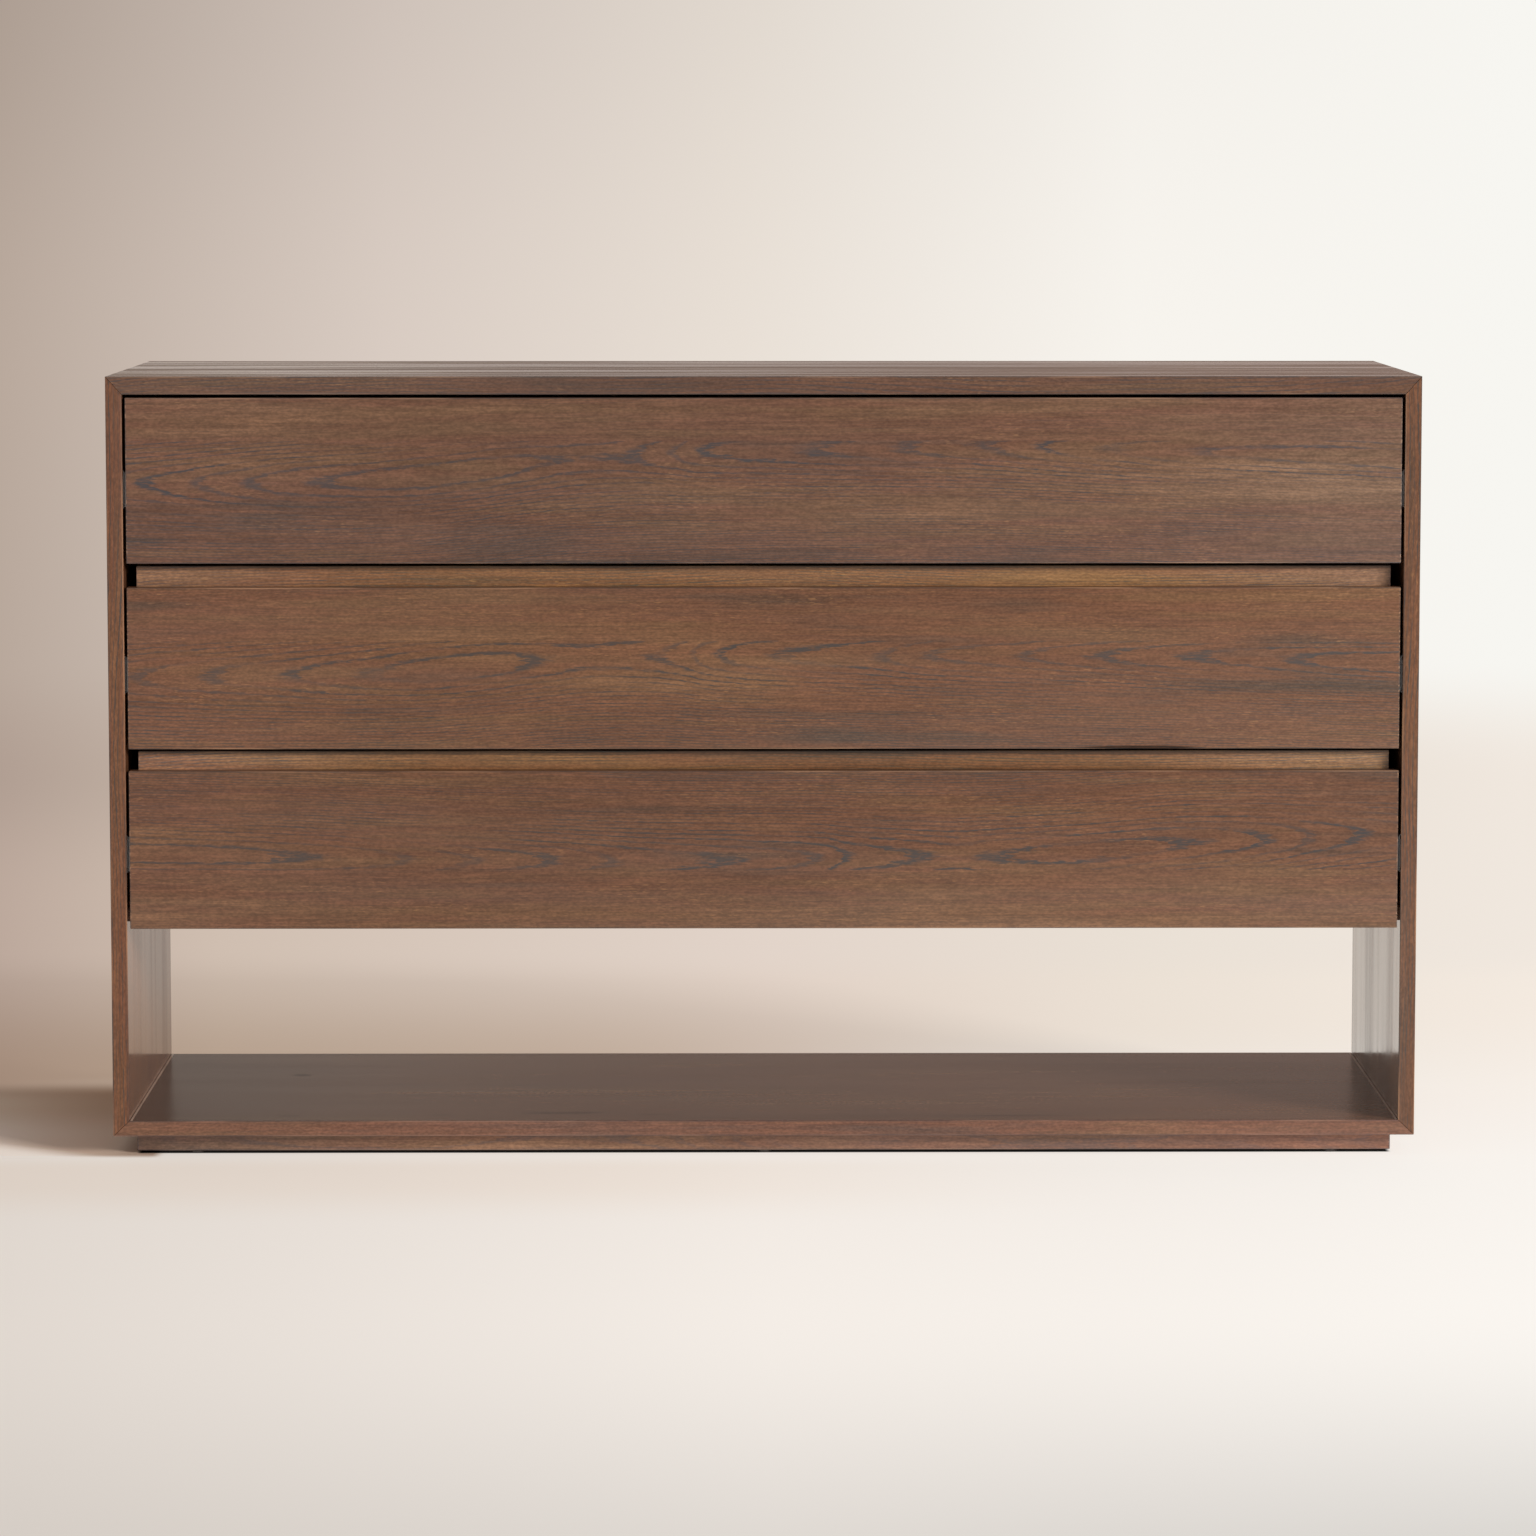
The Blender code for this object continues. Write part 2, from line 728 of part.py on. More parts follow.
def build():
    top, sides = make_case_frame()
    make_plinth()
    meshes = slide_meshes()
    front_top = TOP_Z - TOP_REVEAL
    box_top = TOP_Z - BOX_HEADROOM
    for name in DRAWERS:
        low = front_top - FRONT_HEIGHTS[name]
        drawer = body_empty("drawer_" + name, (0, FRONT_Y, low))
        runners = body_empty("runners_" + name, (0, FRONT_Y, low))
        make_applied_front("drawer_" + name, FRONT_HEIGHTS[name], drawer)
        make_box("drawer_" + name, box_top - low - BOX_RISE, drawer)
        make_slides(name, low + BOX_RISE + SLIDE_RISE, runners, drawer, meshes)
        front_top = low - FINGER_GAPS.get(name, 0)
        box_top = low - STRIP_CLEARANCE
    make_case_inside(top, sides, low + FLOOR_RISE)


build()
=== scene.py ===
"""Looks of a wide dresser in dark stained oak veneer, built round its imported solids.

Metres, +Z up, +X to the right as seen from the front, and the drawers open towards -Y. Each section makes
or finishes one group of pieces, in the order in which the dresser is put together.
"""

import math

import bmesh
import bpy
import numpy as np
from mathutils import Matrix, Vector


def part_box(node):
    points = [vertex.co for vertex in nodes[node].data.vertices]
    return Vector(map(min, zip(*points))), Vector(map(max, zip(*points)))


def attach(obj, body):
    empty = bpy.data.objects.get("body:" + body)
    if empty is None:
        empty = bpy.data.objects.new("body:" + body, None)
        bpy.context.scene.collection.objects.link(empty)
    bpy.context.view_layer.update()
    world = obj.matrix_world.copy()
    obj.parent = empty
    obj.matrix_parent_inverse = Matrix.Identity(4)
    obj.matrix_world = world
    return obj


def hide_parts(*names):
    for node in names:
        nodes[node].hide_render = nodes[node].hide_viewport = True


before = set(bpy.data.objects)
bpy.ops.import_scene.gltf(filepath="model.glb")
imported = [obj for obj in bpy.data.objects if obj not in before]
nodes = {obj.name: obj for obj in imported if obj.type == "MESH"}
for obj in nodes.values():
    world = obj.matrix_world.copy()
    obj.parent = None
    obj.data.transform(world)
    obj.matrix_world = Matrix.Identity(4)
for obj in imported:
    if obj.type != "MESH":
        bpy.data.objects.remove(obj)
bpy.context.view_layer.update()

# The case frame: a top, two sides and a bottom shelf, mitred at the four corners and glued. Each is a board
# of 18 to 21 mm, veneered on every face and edge in plain-sliced oak, stained dark brown and lacquered satin.
X, Y, Z = Vector((1, 0, 0)), Vector((0, 1, 0)), Vector((0, 0, 1))
RING = 0.0027
STRAIGHT_RING = 0.0029
FIRST_RING = 0.22
HEART_WANDER = 0.016
LEAVES_ASIDE = 6.5
CASE_LEAF = 0.165
STAIN_RED = (0.177, 0.083, 0.050)
STAIN_OLIVE = (0.165, 0.087, 0.049)
STAIN_GREY = (0.118, 0.073, 0.054)
STAIN_PALE = (0.235, 0.126, 0.070)
STAIN_VESSEL = (0.058, 0.056, 0.062)
STAIN_FLECK = (0.400, 0.215, 0.105)
STAIN_WORN = (0.400, 0.235, 0.150)
STAINS = ((0.33, STAIN_GREY), (0.46, STAIN_RED), (0.57, STAIN_OLIVE), (0.72, STAIN_PALE))
SEAM_PALE_LINE = (0.80, 0.62, 0.50)
SEAM_INSET = 0.0018
SATIN = 0.36
POLISH = 0.16
PORE_DEPTH = 0.0013
PORE_SHARE = 1.5
EDGE_SHADE_AND_WEAR_WIDTH = 0.0020
STRAIGHT_SWAY = 5.0
STRAIGHT_RIPPLE = 1.2
# Where each of these starts and stops, in metres: from the board's middle for the ends, across the line for
# the seam, and from the board's edge or face for the others.
END_REACH = (0.36, 0.74)
SEAM_LINE = (0.0008, 0.0018)
SEAM_TIPS = (0.004, 0.0015)
LIP_EDGE = (0.0006, 0.0012)
FACE_SKIN = (0.002, 0.001)
POLISH_SKIN = (0.003, 0.001)
PAINTED_SHADE_EDGE = 0.0005
# A plain-sliced figure where nothing shows a particular one: (place along the grain, depth in rings) and
# (place along the grain, height of the log's heart).
PLAIN_DEPTHS = ((-0.8, 27), (-0.45, 22), (-0.2, 23), (0.1, 18), (0.35, 19), (0.8, 13))
PLAIN_HEART = ((-0.8, -0.006), (-0.2, 0.008), (0.3, -0.004), (0.8, 0.005))
# What varies the oak: lumps in a metre along, across and through the board, a step of the seed, and detail.
OAK_NOISE = {
    "wander": ((1.6, 3.0, 3.0), 0, 1.0),
    "wave": ((9, 60, 60), 1, 2.0),
    "ripple": ((60, 420, 420), 2, 2.0),
    "straight": ((9, 55, 55), 3, 2.0),
    "fade": ((6.0, 34, 34), 4, 2.0),
    "vessels": ((90, 600, 600), 5, 1.0),
    "broad": ((1.3, 10, 10), 6, 3.0),
    "streak": ((4.5, 85, 85), 7, 3.0),
    "fine": ((8, 330, 330), 8, 4.0),
    "pores": ((100, 640, 640), 9, 1.0),
    "patch": ((5, 34, 34), 10, 2.0),
    "dashes": ((45, 430, 430), 11, 1.0),
    "sheen": ((2.0, 26, 26), 12, 2.0),
    "dots": ((220, 470, 470), 14, 1.0),
}
BAND_STEP = 13


class Finish:
    """The nodes of one finish. Each call adds a step and gives back the socket with its result."""

    def __init__(self, name, roughness, metallic=0.0):
        self.material = bpy.data.materials.new(name)
        self.material.use_nodes = True
        self.tree = self.material.node_tree
        self.shader = self.tree.nodes["Principled BSDF"]
        self.shader.inputs["Roughness"].default_value = roughness
        self.shader.inputs["Metallic"].default_value = metallic

    def feed(self, socket, value):
        """Links another step's result to a socket, or sets a plain value on it."""
        if isinstance(value, bpy.types.NodeSocket):
            self.tree.links.new(value, socket)
        else:
            socket.default_value = value

    def calc(self, operation, *terms, clamp=False):
        """One step of arithmetic on numbers or sockets."""
        node = self.tree.nodes.new("ShaderNodeMath")
        node.operation = operation
        node.use_clamp = clamp
        for socket, term in zip(node.inputs, terms):
            self.feed(socket, term)
        return node.outputs[0]

    def product(self, first, *others):
        """The terms multiplied together, in this order."""
        for other in others:
            first = self.calc("MULTIPLY", first, other)
        return first

    def squares(self, first, second):
        """The squares of the two terms, added."""
        return self.calc("MULTIPLY_ADD", first, first, self.calc("MULTIPLY", second, second))

    def laid(self, grain, across, centre):
        """Places on the piece: X along its grain, Y across it and Z through it, from the piece's centre."""
        turn = Matrix((grain, across, grain.cross(across)))
        coordinates = self.tree.nodes.new("ShaderNodeTexCoord")
        mapping = self.tree.nodes.new("ShaderNodeMapping")
        mapping.inputs["Rotation"].default_value = turn.to_euler()
        mapping.inputs["Location"].default_value = -(turn @ Vector(centre))
        self.feed(mapping.inputs["Vector"], coordinates.outputs["Object"])
        return mapping.outputs[0]

    def parts(self, place):
        """The X, Y and Z of a place."""
        node = self.tree.nodes.new("ShaderNodeSeparateXYZ")
        self.feed(node.inputs[0], place)
        return node.outputs[0], node.outputs[1], node.outputs[2]

    def cloud(self, place, stretch, seed, detail=2.0):
        """Soft noise about 0.5, with this many lumps in a metre along, across and through the piece."""
        shift = self.tree.nodes.new("ShaderNodeVectorMath")
        shift.operation = "MULTIPLY_ADD"
        self.feed(shift.inputs[0], place)
        shift.inputs[1].default_value = stretch
        shift.inputs[2].default_value = (seed * 1.7, seed * 3.1, seed * 5.3)
        noise = self.tree.nodes.new("ShaderNodeTexNoise")
        noise.inputs["Scale"].default_value = 1.0
        noise.inputs["Detail"].default_value = detail
        self.feed(noise.inputs["Vector"], shift.outputs[0])
        return noise.outputs[0]

    def chance(self, number):
        """A fixed random value from 0 to 1 for each whole number."""
        node = self.tree.nodes.new("ShaderNodeTexWhiteNoise")
        node.noise_dimensions = "1D"
        self.feed(node.inputs["W"], number)
        return node.outputs[0]

    def rise(self, value, start, stop, low=0.0, high=1.0):
        """Goes smoothly from low to high while the value goes from start to stop."""
        node = self.tree.nodes.new("ShaderNodeMapRange")
        node.interpolation_type = "SMOOTHSTEP"
        for socket, term in zip(node.inputs, (value, start, stop, low, high)):
            self.feed(socket, term)
        return node.outputs[0]

    def fall(self, value, start, stop):
        """Goes smoothly from 1 to 0 while the value goes from start to stop."""
        return self.rise(value, start, stop, 1.0, 0.0)

    def between(self, value, start, full, fading, stop):
        """0 up to start, 1 from full to fading, and 0 again from stop."""
        return self.calc("MULTIPLY", self.rise(value, start, full), self.fall(value, fading, stop))

    def course(self, value, points):
        """A smooth curve through (place, height) points, read at the value."""
        places, heights = zip(*points)
        low, high = min(heights), max(heights)
        span = max(high - low, 1e-6)
        reach = places[-1] - places[0]
        node = self.tree.nodes.new("ShaderNodeFloatCurve")
        curve = node.mapping.curves[0]
        for place, height in points[1:-1]:
            curve.points.new((place - places[0]) / reach, (height - low) / span)
        curve.points[0].location = (0, (heights[0] - low) / span)
        curve.points[-1].location = (1, (heights[-1] - low) / span)
        node.mapping.update()
        share = self.calc("MULTIPLY_ADD", value, 1 / reach, -places[0] / reach, clamp=True)
        self.feed(node.inputs["Value"], share)
        return self.calc("MULTIPLY_ADD", node.outputs[0], span, low)

    def grey(self, value):
        """A grey of this value, as a colour."""
        node = self.tree.nodes.new("ShaderNodeCombineColor")
        for socket in node.inputs:
            self.feed(socket, value)
        return node.outputs[0]

    def blend(self, share, first, second, way="MIX"):
        """The first colour, and by this share the second one mixed with it in this way."""
        node = self.tree.nodes.new("ShaderNodeMix")
        node.data_type = "RGBA"
        node.blend_type = way
        self.feed(node.inputs[0], share)
        for socket, colour in ((node.inputs[6], first), (node.inputs[7], second)):
            self.feed(socket, colour if isinstance(colour, bpy.types.NodeSocket) else (*colour, 1))
        return node.outputs[2]

    def tinted(self, colour, tint, share=1.0):
        """The colour multiplied by a tint, by this share."""
        return self.blend(share, colour, tint, "MULTIPLY")

    def graded(self, value, stops):
        """A colour between (place, colour) stops."""
        node = self.tree.nodes.new("ShaderNodeValToRGB")
        ramp = node.color_ramp
        while len(ramp.elements) < len(stops):
            ramp.elements.new(0.5)
        for element, (place, colour) in zip(ramp.elements, stops):
            element.position = place
            element.color = (*colour, 1)
        self.feed(node.inputs[0], value)
        return node.outputs[0]

    def arris(self, parts, half, width):
        """1 along the piece's edges: where two of the three places are within this width of their limits."""
        near = [
            self.rise(self.calc("ABSOLUTE", part), reach - width, reach - 0.3 * width)
            for part, reach in zip(parts, half)
        ]
        pairs = [self.calc("MINIMUM", near[a], near[b]) for a, b in ((0, 1), (1, 2), (0, 2))]
        return self.calc("MAXIMUM", self.calc("MAXIMUM", pairs[0], pairs[1]), pairs[2])

    def relief(self, height, depth):
        """A fine relief of this height, which is multiplied by the depth."""
        node = self.tree.nodes.new("ShaderNodeBump")
        node.inputs["Strength"].default_value = 1.0
        node.inputs["Distance"].default_value = depth
        self.feed(node.inputs["Height"], height)
        self.tree.links.new(node.outputs[0], self.shader.inputs["Normal"])


def stained_oak(
    board,
    grain,
    across,
    seed,
    depths=PLAIN_DEPTHS,
    heart=PLAIN_HEART,
    leaf=None,
    joint=None,
    tint=(1.0, 1.0, 1.0),
    facing=None,
    gloss=SATIN,
    polished_side=None,
    bands=None,
    seam=None,
    marks=(),
    lip=None,
    painted_edge_shade=None,
    ends=(),
    figure=1.0,
):
    """Dark stained oak with its rings worked out.

    The face is a slice of a log. Its rings are the distance from the log's heart, over a ring's thickness:
    the root of the squared distance across from the heart line and the squared depth below the face. The
    depth changes along the grain, so the rings close in arches there.

    depths, heart: the depth in rings, and the height of the heart line, at places along the grain.
    leaf: width of the mirrored leaves of veneer that a wide face repeats.
    joint: (height, side), beyond which another, straight-grained leaf begins.
    tint, facing: a tint of the whole board, and one more of the face where the depth is greatest; both also
    hold painted light, lightening boards and faces that lie in shade.
    gloss, polished_side: its roughness, and the side, 1 or -1 in the depth, that alone has it over satin.
    bands: bands of more and less gloss, (in a metre along, in a metre across, least share of roughness).
    seam: how far from the board's middle a pale line lies on its face.
    marks: dark marks, each (place along, place across, half its length, half its width, shade).
    lip: tint of the front edge's own veneer.
    painted_edge_shade: (width, shade) of a painted shade that darkens the board towards its far edge.
    ends: tints towards the two ends, painted light and shade that lighten or darken the board there.
    figure: strength of the pores, rings and wear, 1 in full.
    """
    low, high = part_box(board)
    half = (high - low) / 2
    oak = Finish("oak_" + board, gloss)
    place = oak.laid(grain, across, (low + high) / 2)
    along, over, through = oak.parts(place)
    reach = [half.dot(Vector(map(abs, axis))) for axis in (grain, across, grain.cross(across))]

    def noise(name):
        """One of the oak's patterns on this board."""
        stretch, step, detail = OAK_NOISE[name]
        return oak.cloud(place, stretch, seed + step, detail)

    edges = oak.arris((along, over, through), reach, EDGE_SHADE_AND_WEAR_WIDTH)
    flat = over
    if leaf:
        leaves = oak.calc("PINGPONG", oak.calc("ADD", over, leaf * LEAVES_ASIDE), leaf)
        over = oak.calc("SUBTRACT", leaves, leaf / 2)
    wander = noise("wander")
    offset = oak.calc("SUBTRACT", over, oak.course(along, heart))
    offset = oak.calc("ADD", offset, oak.calc("MULTIPLY_ADD", wander, HEART_WANDER, -HEART_WANDER / 2))
    depth = oak.calc("MULTIPLY", oak.course(along, depths), RING)
    depth = oak.calc("ADD", depth, oak.calc("SUBTRACT", through, reach[2]))
    rings = oak.calc("MULTIPLY_ADD", oak.calc("SQRT", oak.squares(offset, depth)), 1 / RING, FIRST_RING)
    for name, swing in (("wave", 0.60), ("ripple", 0.55)):
        rings = oak.calc("ADD", rings, oak.calc("MULTIPLY_ADD", noise(name), swing, -swing / 2))
    calm = 1.0
    if joint:
        height, side = joint
        sway = oak.calc("MULTIPLY", wander, STRAIGHT_SWAY)
        straight = oak.calc("MULTIPLY_ADD", over, 1 / STRAIGHT_RING, sway)
        straight = oak.calc("ADD", straight, oak.calc("MULTIPLY", noise("straight"), STRAIGHT_RIPPLE))
        beyond = oak.calc("GREATER_THAN" if side > 0 else "LESS_THAN", over, height)
        change = oak.calc("MULTIPLY", beyond, oak.calc("SUBTRACT", straight, rings))
        rings = oak.calc("ADD", rings, change)
        calm = oak.calc("MULTIPLY_ADD", beyond, -0.70, 1.0)
    ring = oak.calc("FLOOR", rings)
    share = oak.calc("SUBTRACT", rings, ring)

    # Each ring starts with a porous, dark part. Some rings are bolder, and it fades out here and there.
    porous = oak.between(share, 0.0, 0.06, 0.19, 0.38)
    bold = oak.rise(oak.chance(oak.calc("ADD", ring, seed * 7.7)), 0.0, 1.0, 0.55, 1.0)
    fade = oak.rise(noise("fade"), 0.36, 0.52, 0.30, 1.0)
    vessels = oak.rise(noise("vessels"), 0.32, 0.52, 0.40, 1.0)
    dark = oak.product(porous, bold, fade, vessels, calm)
    front_edge = 0.0
    if lip:
        front_edge = oak.fall(flat, *(inset - reach[1] for inset in LIP_EDGE))
        dark = oak.calc("MULTIPLY", dark, oak.calc("MULTIPLY_ADD", front_edge, -0.65, 1.0))

    broad, streak, fine = noise("broad"), noise("streak"), noise("fine")
    mixed = oak.calc("MULTIPLY_ADD", streak, 0.40, oak.calc("MULTIPLY", broad, 0.60))
    colour = oak.graded(mixed, STAINS)
    value = oak.rise(fine, 0.28, 0.72, 0.87, 1.13)
    for pattern, least in ((noise("dashes"), 0.88), (noise("dots"), 0.84), (broad, 0.85), (streak, 0.97)):
        value = oak.calc("MULTIPLY", value, oak.rise(pattern, 0.30, 0.70, least, 2 - least))
    colour = oak.tinted(colour, oak.grey(value))
    pores = oak.rise(noise("pores"), 0.61, 0.72)
    patch = oak.rise(noise("patch"), 0.50, 0.62)
    colour = oak.blend(oak.product(pores, patch, 0.40 * figure**3), colour, STAIN_FLECK)
    colour = oak.blend(oak.calc("MULTIPLY", dark, 0.94 * figure), colour, STAIN_VESSEL)
    # The edges are darker, partly where the stain gathers and partly as painted shade along the arrises, and
    # rubbed through in places.
    colour = oak.blend(oak.calc("MULTIPLY", edges, 0.45), colour, STAIN_VESSEL)
    worn = oak.rise(fine, 0.46, 0.66, 0.0, 0.75 * figure)
    colour = oak.blend(oak.calc("MULTIPLY", edges, worn), colour, STAIN_WORN)
    # A mark is an ellipse with a ragged outline, and dulls the lacquer as well.
    dull = 1.0
    for centre, height, half_length, half_width, shade in marks:
        beside = oak.calc("DIVIDE", oak.calc("SUBTRACT", along, centre), half_length)
        above = oak.calc("DIVIDE", oak.calc("SUBTRACT", flat, height), half_width)
        far = oak.calc("ADD", oak.squares(beside, above), oak.calc("MULTIPLY_ADD", fine, 2.4, -1.2))
        spot = oak.rise(far, 0.3, 1.1, shade, 1.0)
        colour = oak.tinted(colour, oak.grey(spot))
        dull = oak.calc("MULTIPLY", dull, spot)
    # The tints also hold painted light: they lighten boards and faces that lie in shade.
    colour = oak.tinted(colour, tint)
    if facing:
        face = oak.rise(through, *(reach[2] - inset for inset in FACE_SKIN))
        colour = oak.tinted(colour, facing, face)
    if lip:
        colour = oak.tinted(colour, lip, front_edge)
    # Painted shade: the board darkens towards its far edge, as a strip does under the front above it.
    if painted_edge_shade:
        width, shade = painted_edge_shade
        value = oak.rise(flat, reach[1] - width, reach[1] - PAINTED_SHADE_EDGE, 1.0, shade)
        colour = oak.tinted(colour, oak.grey(value))
    # Painted light and shade: the board grows lighter or darker towards its ends.
    for side, end_tint in zip((-1, 1), ends):
        near = oak.rise(oak.calc("MULTIPLY", along, side), *END_REACH)
        near = oak.calc("MULTIPLY", near, oak.calc("SUBTRACT", 1.0, front_edge))
        colour = oak.tinted(colour, end_tint, near)
    if seam:
        off = oak.calc("ABSOLUTE", oak.calc("SUBTRACT", oak.calc("ABSOLUTE", along), seam))
        inside = oak.fall(oak.calc("ABSOLUTE", flat), *(reach[1] - inset for inset in SEAM_TIPS))
        line = oak.product(oak.fall(off, *SEAM_LINE), oak.rise(broad, 0.35, 0.55, 0.5, 1.0), inside)
        colour = oak.blend(line, colour, SEAM_PALE_LINE)
    oak.feed(oak.shader.inputs["Base Color"], colour)

    rough = gloss
    if polished_side:
        outward = oak.calc("MULTIPLY", through, polished_side)
        rough = oak.rise(outward, *(reach[2] - inset for inset in POLISH_SKIN), SATIN, gloss)
    uneven = 0.18 * figure**3
    rough = oak.calc("MULTIPLY", rough, oak.rise(fine, 0.2, 0.8, 1 - uneven, 1 + uneven))
    if bands:
        lengthways, crossways, least = bands
        band = oak.cloud(place, (lengthways, crossways, crossways), seed + BAND_STEP, 3.0)
        rough = oak.calc("MULTIPLY", rough, oak.rise(band, 0.36, 0.64, least, 1 / least))
    oak.feed(oak.shader.inputs["Roughness"], rough)
    shine = oak.rise(noise("sheen"), 0.32, 0.68, 0.40, 0.60)
    oak.feed(oak.shader.inputs["Specular IOR Level"], oak.calc("MULTIPLY", shine, dull))
    raised = oak.calc("SUBTRACT", fine, oak.calc("MULTIPLY", dark, PORE_SHARE))
    oak.relief(raised, PORE_DEPTH * (figure * gloss) ** 3)
    return oak.material


def finish_node(name, material):
    """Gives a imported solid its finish."""
    slots = nodes[name].material_slots
    for slot in slots:
        slot.material = material
    if not slots:
        nodes[name].data.materials.append(material)


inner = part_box("side_panel_right")[0].x
for board, grain, seed, details in (
    ("top_panel", X, 1.0, {"gloss": POLISH, "bands": (1.4, 20, 0.77)}),
    ("shelf_panel", X, 2.0, {
        "gloss": 0.24,
        "figure": 0.5,
        "seam": inner - SEAM_INSET,
        "tint": (1.09, 1.07, 1.06),
        "marks": (
            (-0.566, 0.075, 0.014, 0.008, 0.25),
            (-0.235, -0.180, 0.065, 0.006, 0.45),
            (-0.378, -0.192, 0.018, 0.004, 0.50),
            (-0.559, -0.196, 0.016, 0.004, 0.50),
            (-0.130, -0.188, 0.045, 0.004, 0.50),
            (0.310, -0.198, 0.090, 0.004, 0.55),
        ),
        # Painted shade and light: the shelf's left end is made far darker and its right end lighter.
        "ends": ((0.40, 0.38, 0.36), (1.12, 1.12, 1.15)),
        "lip": (1.25, 1.19, 1.22),
    }),
    ("side_panel_left", Z, 3.0, {
        "gloss": POLISH,
        "tint": (1.28, 1.06, 0.88),
        "polished_side": -1,
        "bands": (1.2, 17, 0.73),
    }),
    ("side_panel_right", Z, 4.0, {
        "gloss": POLISH,
        "tint": (1.24, 1.12, 0.92),
        "polished_side": 1,
        "bands": (1.2, 17, 0.73),
    }),
):
    finish_node(board, stained_oak(board, grain, Y, seed, leaf=CASE_LEAF, **details))

# Inside the case: the drawer floor, housed in the sides, and the back, a thin stained plywood panel let into
# rabbets round the drawers and screwed on. Below them the shelf is open right through.
BACK_LOOKS = {"leaf": 0.21, "tint": (0.72, 0.72, 0.72), "gloss": 0.5}

finish_node("drawer_floor_panel", stained_oak("drawer_floor_panel", X, Y, 5.0, leaf=CASE_LEAF))
finish_node("back_panel", stained_oak("back_panel", X, Z, 6.0, **BACK_LOOKS))

# The plinth: four veneered runs mitred at the corners, with a rail across the middle. It is set in all round,
# so the case seems to float.
# Painted light: the plinth's stain is made about 1.6 times lighter, where it lies in shade under the case,
# and darker towards its left end and lighter towards its right.
PLINTH_LOOKS = {
    "tint": (1.56, 1.58, 1.64),
    "ends": ((0.70, 0.78, 0.90), (1.30, 1.25, 1.28)),
    "figure": 0.4,
}

for run, grain, across in (
    ("front", X, Z),
    ("back", X, Z),
    ("left", Y, Z),
    ("right", Y, Z),
    ("rail", Y, Z),
):
    board = f"plinth_{run}"
    finish_node(board, stained_oak(board, grain, across, 7.0, **PLINTH_LOOKS))

# Six nail-on glides under the plinth, three along its front and three along its back. They are dark moulded
# nylon, each with a pin driven up into the plinth.
NYLON = (0.030, 0.024, 0.021)
NYLON_GLOSS = 0.5
NYLON_FROST = 0.00003


def moulded_nylon():
    """Dull dark plastic with a fine frosted relief."""
    nylon = Finish("dark_nylon", NYLON_GLOSS)
    place = nylon.laid(X, Y, (0, 0, 0))
    frost = nylon.cloud(place, (900, 900, 900), 11.0)
    shade = nylon.rise(frost, 0.3, 0.7, 0.8, 1.2)
    nylon.feed(nylon.shader.inputs["Base Color"], nylon.tinted(NYLON, nylon.grey(shade)))
    nylon.relief(frost, NYLON_FROST)
    return nylon.material


glide_finish = moulded_nylon()
for row in ("front", "back"):
    for place in ("left", "middle", "right"):
        finish_node(f"glide_{row}_{place}", glide_finish)

# The ball-bearing slides: on each side of a drawer a case member, a runner and a drawer member, each rolled
# from bright zinc-plated steel strip. Steel balls run in the races between them, and pan-head screws hold the
# outer two members to the case and to the box.
SEAT = 0.0003
STEEL = 0.0012
BALL_RADIUS = 0.002
BALL_CLEARANCE = 0.0003
BALL_SEAT = 0.0004
BALL_RINGS = 7
BALL_SPOKES = 10
BALLS_IN_ROW = 9
BALL_PITCH = 0.020
ROW_INSET = 0.035
BEND_RADIUS = 0.0016
MEMBER_CLEARANCE = 0.0004
SLIDE_SPACE = 0.0127
SCREW_INSET = 0.035
# Angles in degrees round the balls, from the drawer's side upwards: where the curls and the dip begin or end,
# and in which direction the inner ball lies from the outer one.
CASE_CURL = 40
RUNNER_CURL = 30
RUNNER_DIP = 290
DRAWER_CURL = 215
BALLS_TILT = 320
# The screws' heads: radius and height.
PAN_HEAD = (0.0040, 0.0016)
LOW_HEAD = (0.0036, 0.0003)
FLAT_HEAD = (0.0034, 0.00025)
HEAD_SPOKES = 16
ZINC = (0.60, 0.61, 0.62)
ZINC_GLOSS = 0.32
ZINC_GRAIN = 0.00001


def zinc_plate():
    """Bright zinc with a faint cloudy bloom and the fine lines of rolling."""
    zinc = Finish("zinc_plate", ZINC_GLOSS, metallic=1.0)
    place = zinc.laid(Y, Z, (0, 0, 0))
    bloom = zinc.cloud(place, (60, 60, 60), 12.0, 3.0)
    rolled = zinc.cloud(place, (8, 900, 900), 13.0)
    shade = zinc.rise(bloom, 0.3, 0.7, 0.93, 1.04)
    zinc.feed(zinc.shader.inputs["Base Color"], zinc.tinted(ZINC, zinc.grey(shade)))
    zinc.feed(zinc.shader.inputs["Roughness"], zinc.rise(bloom, 0.3, 0.7, 0.31, 0.39))
    zinc.relief(rolled, ZINC_GRAIN)
    return zinc.material


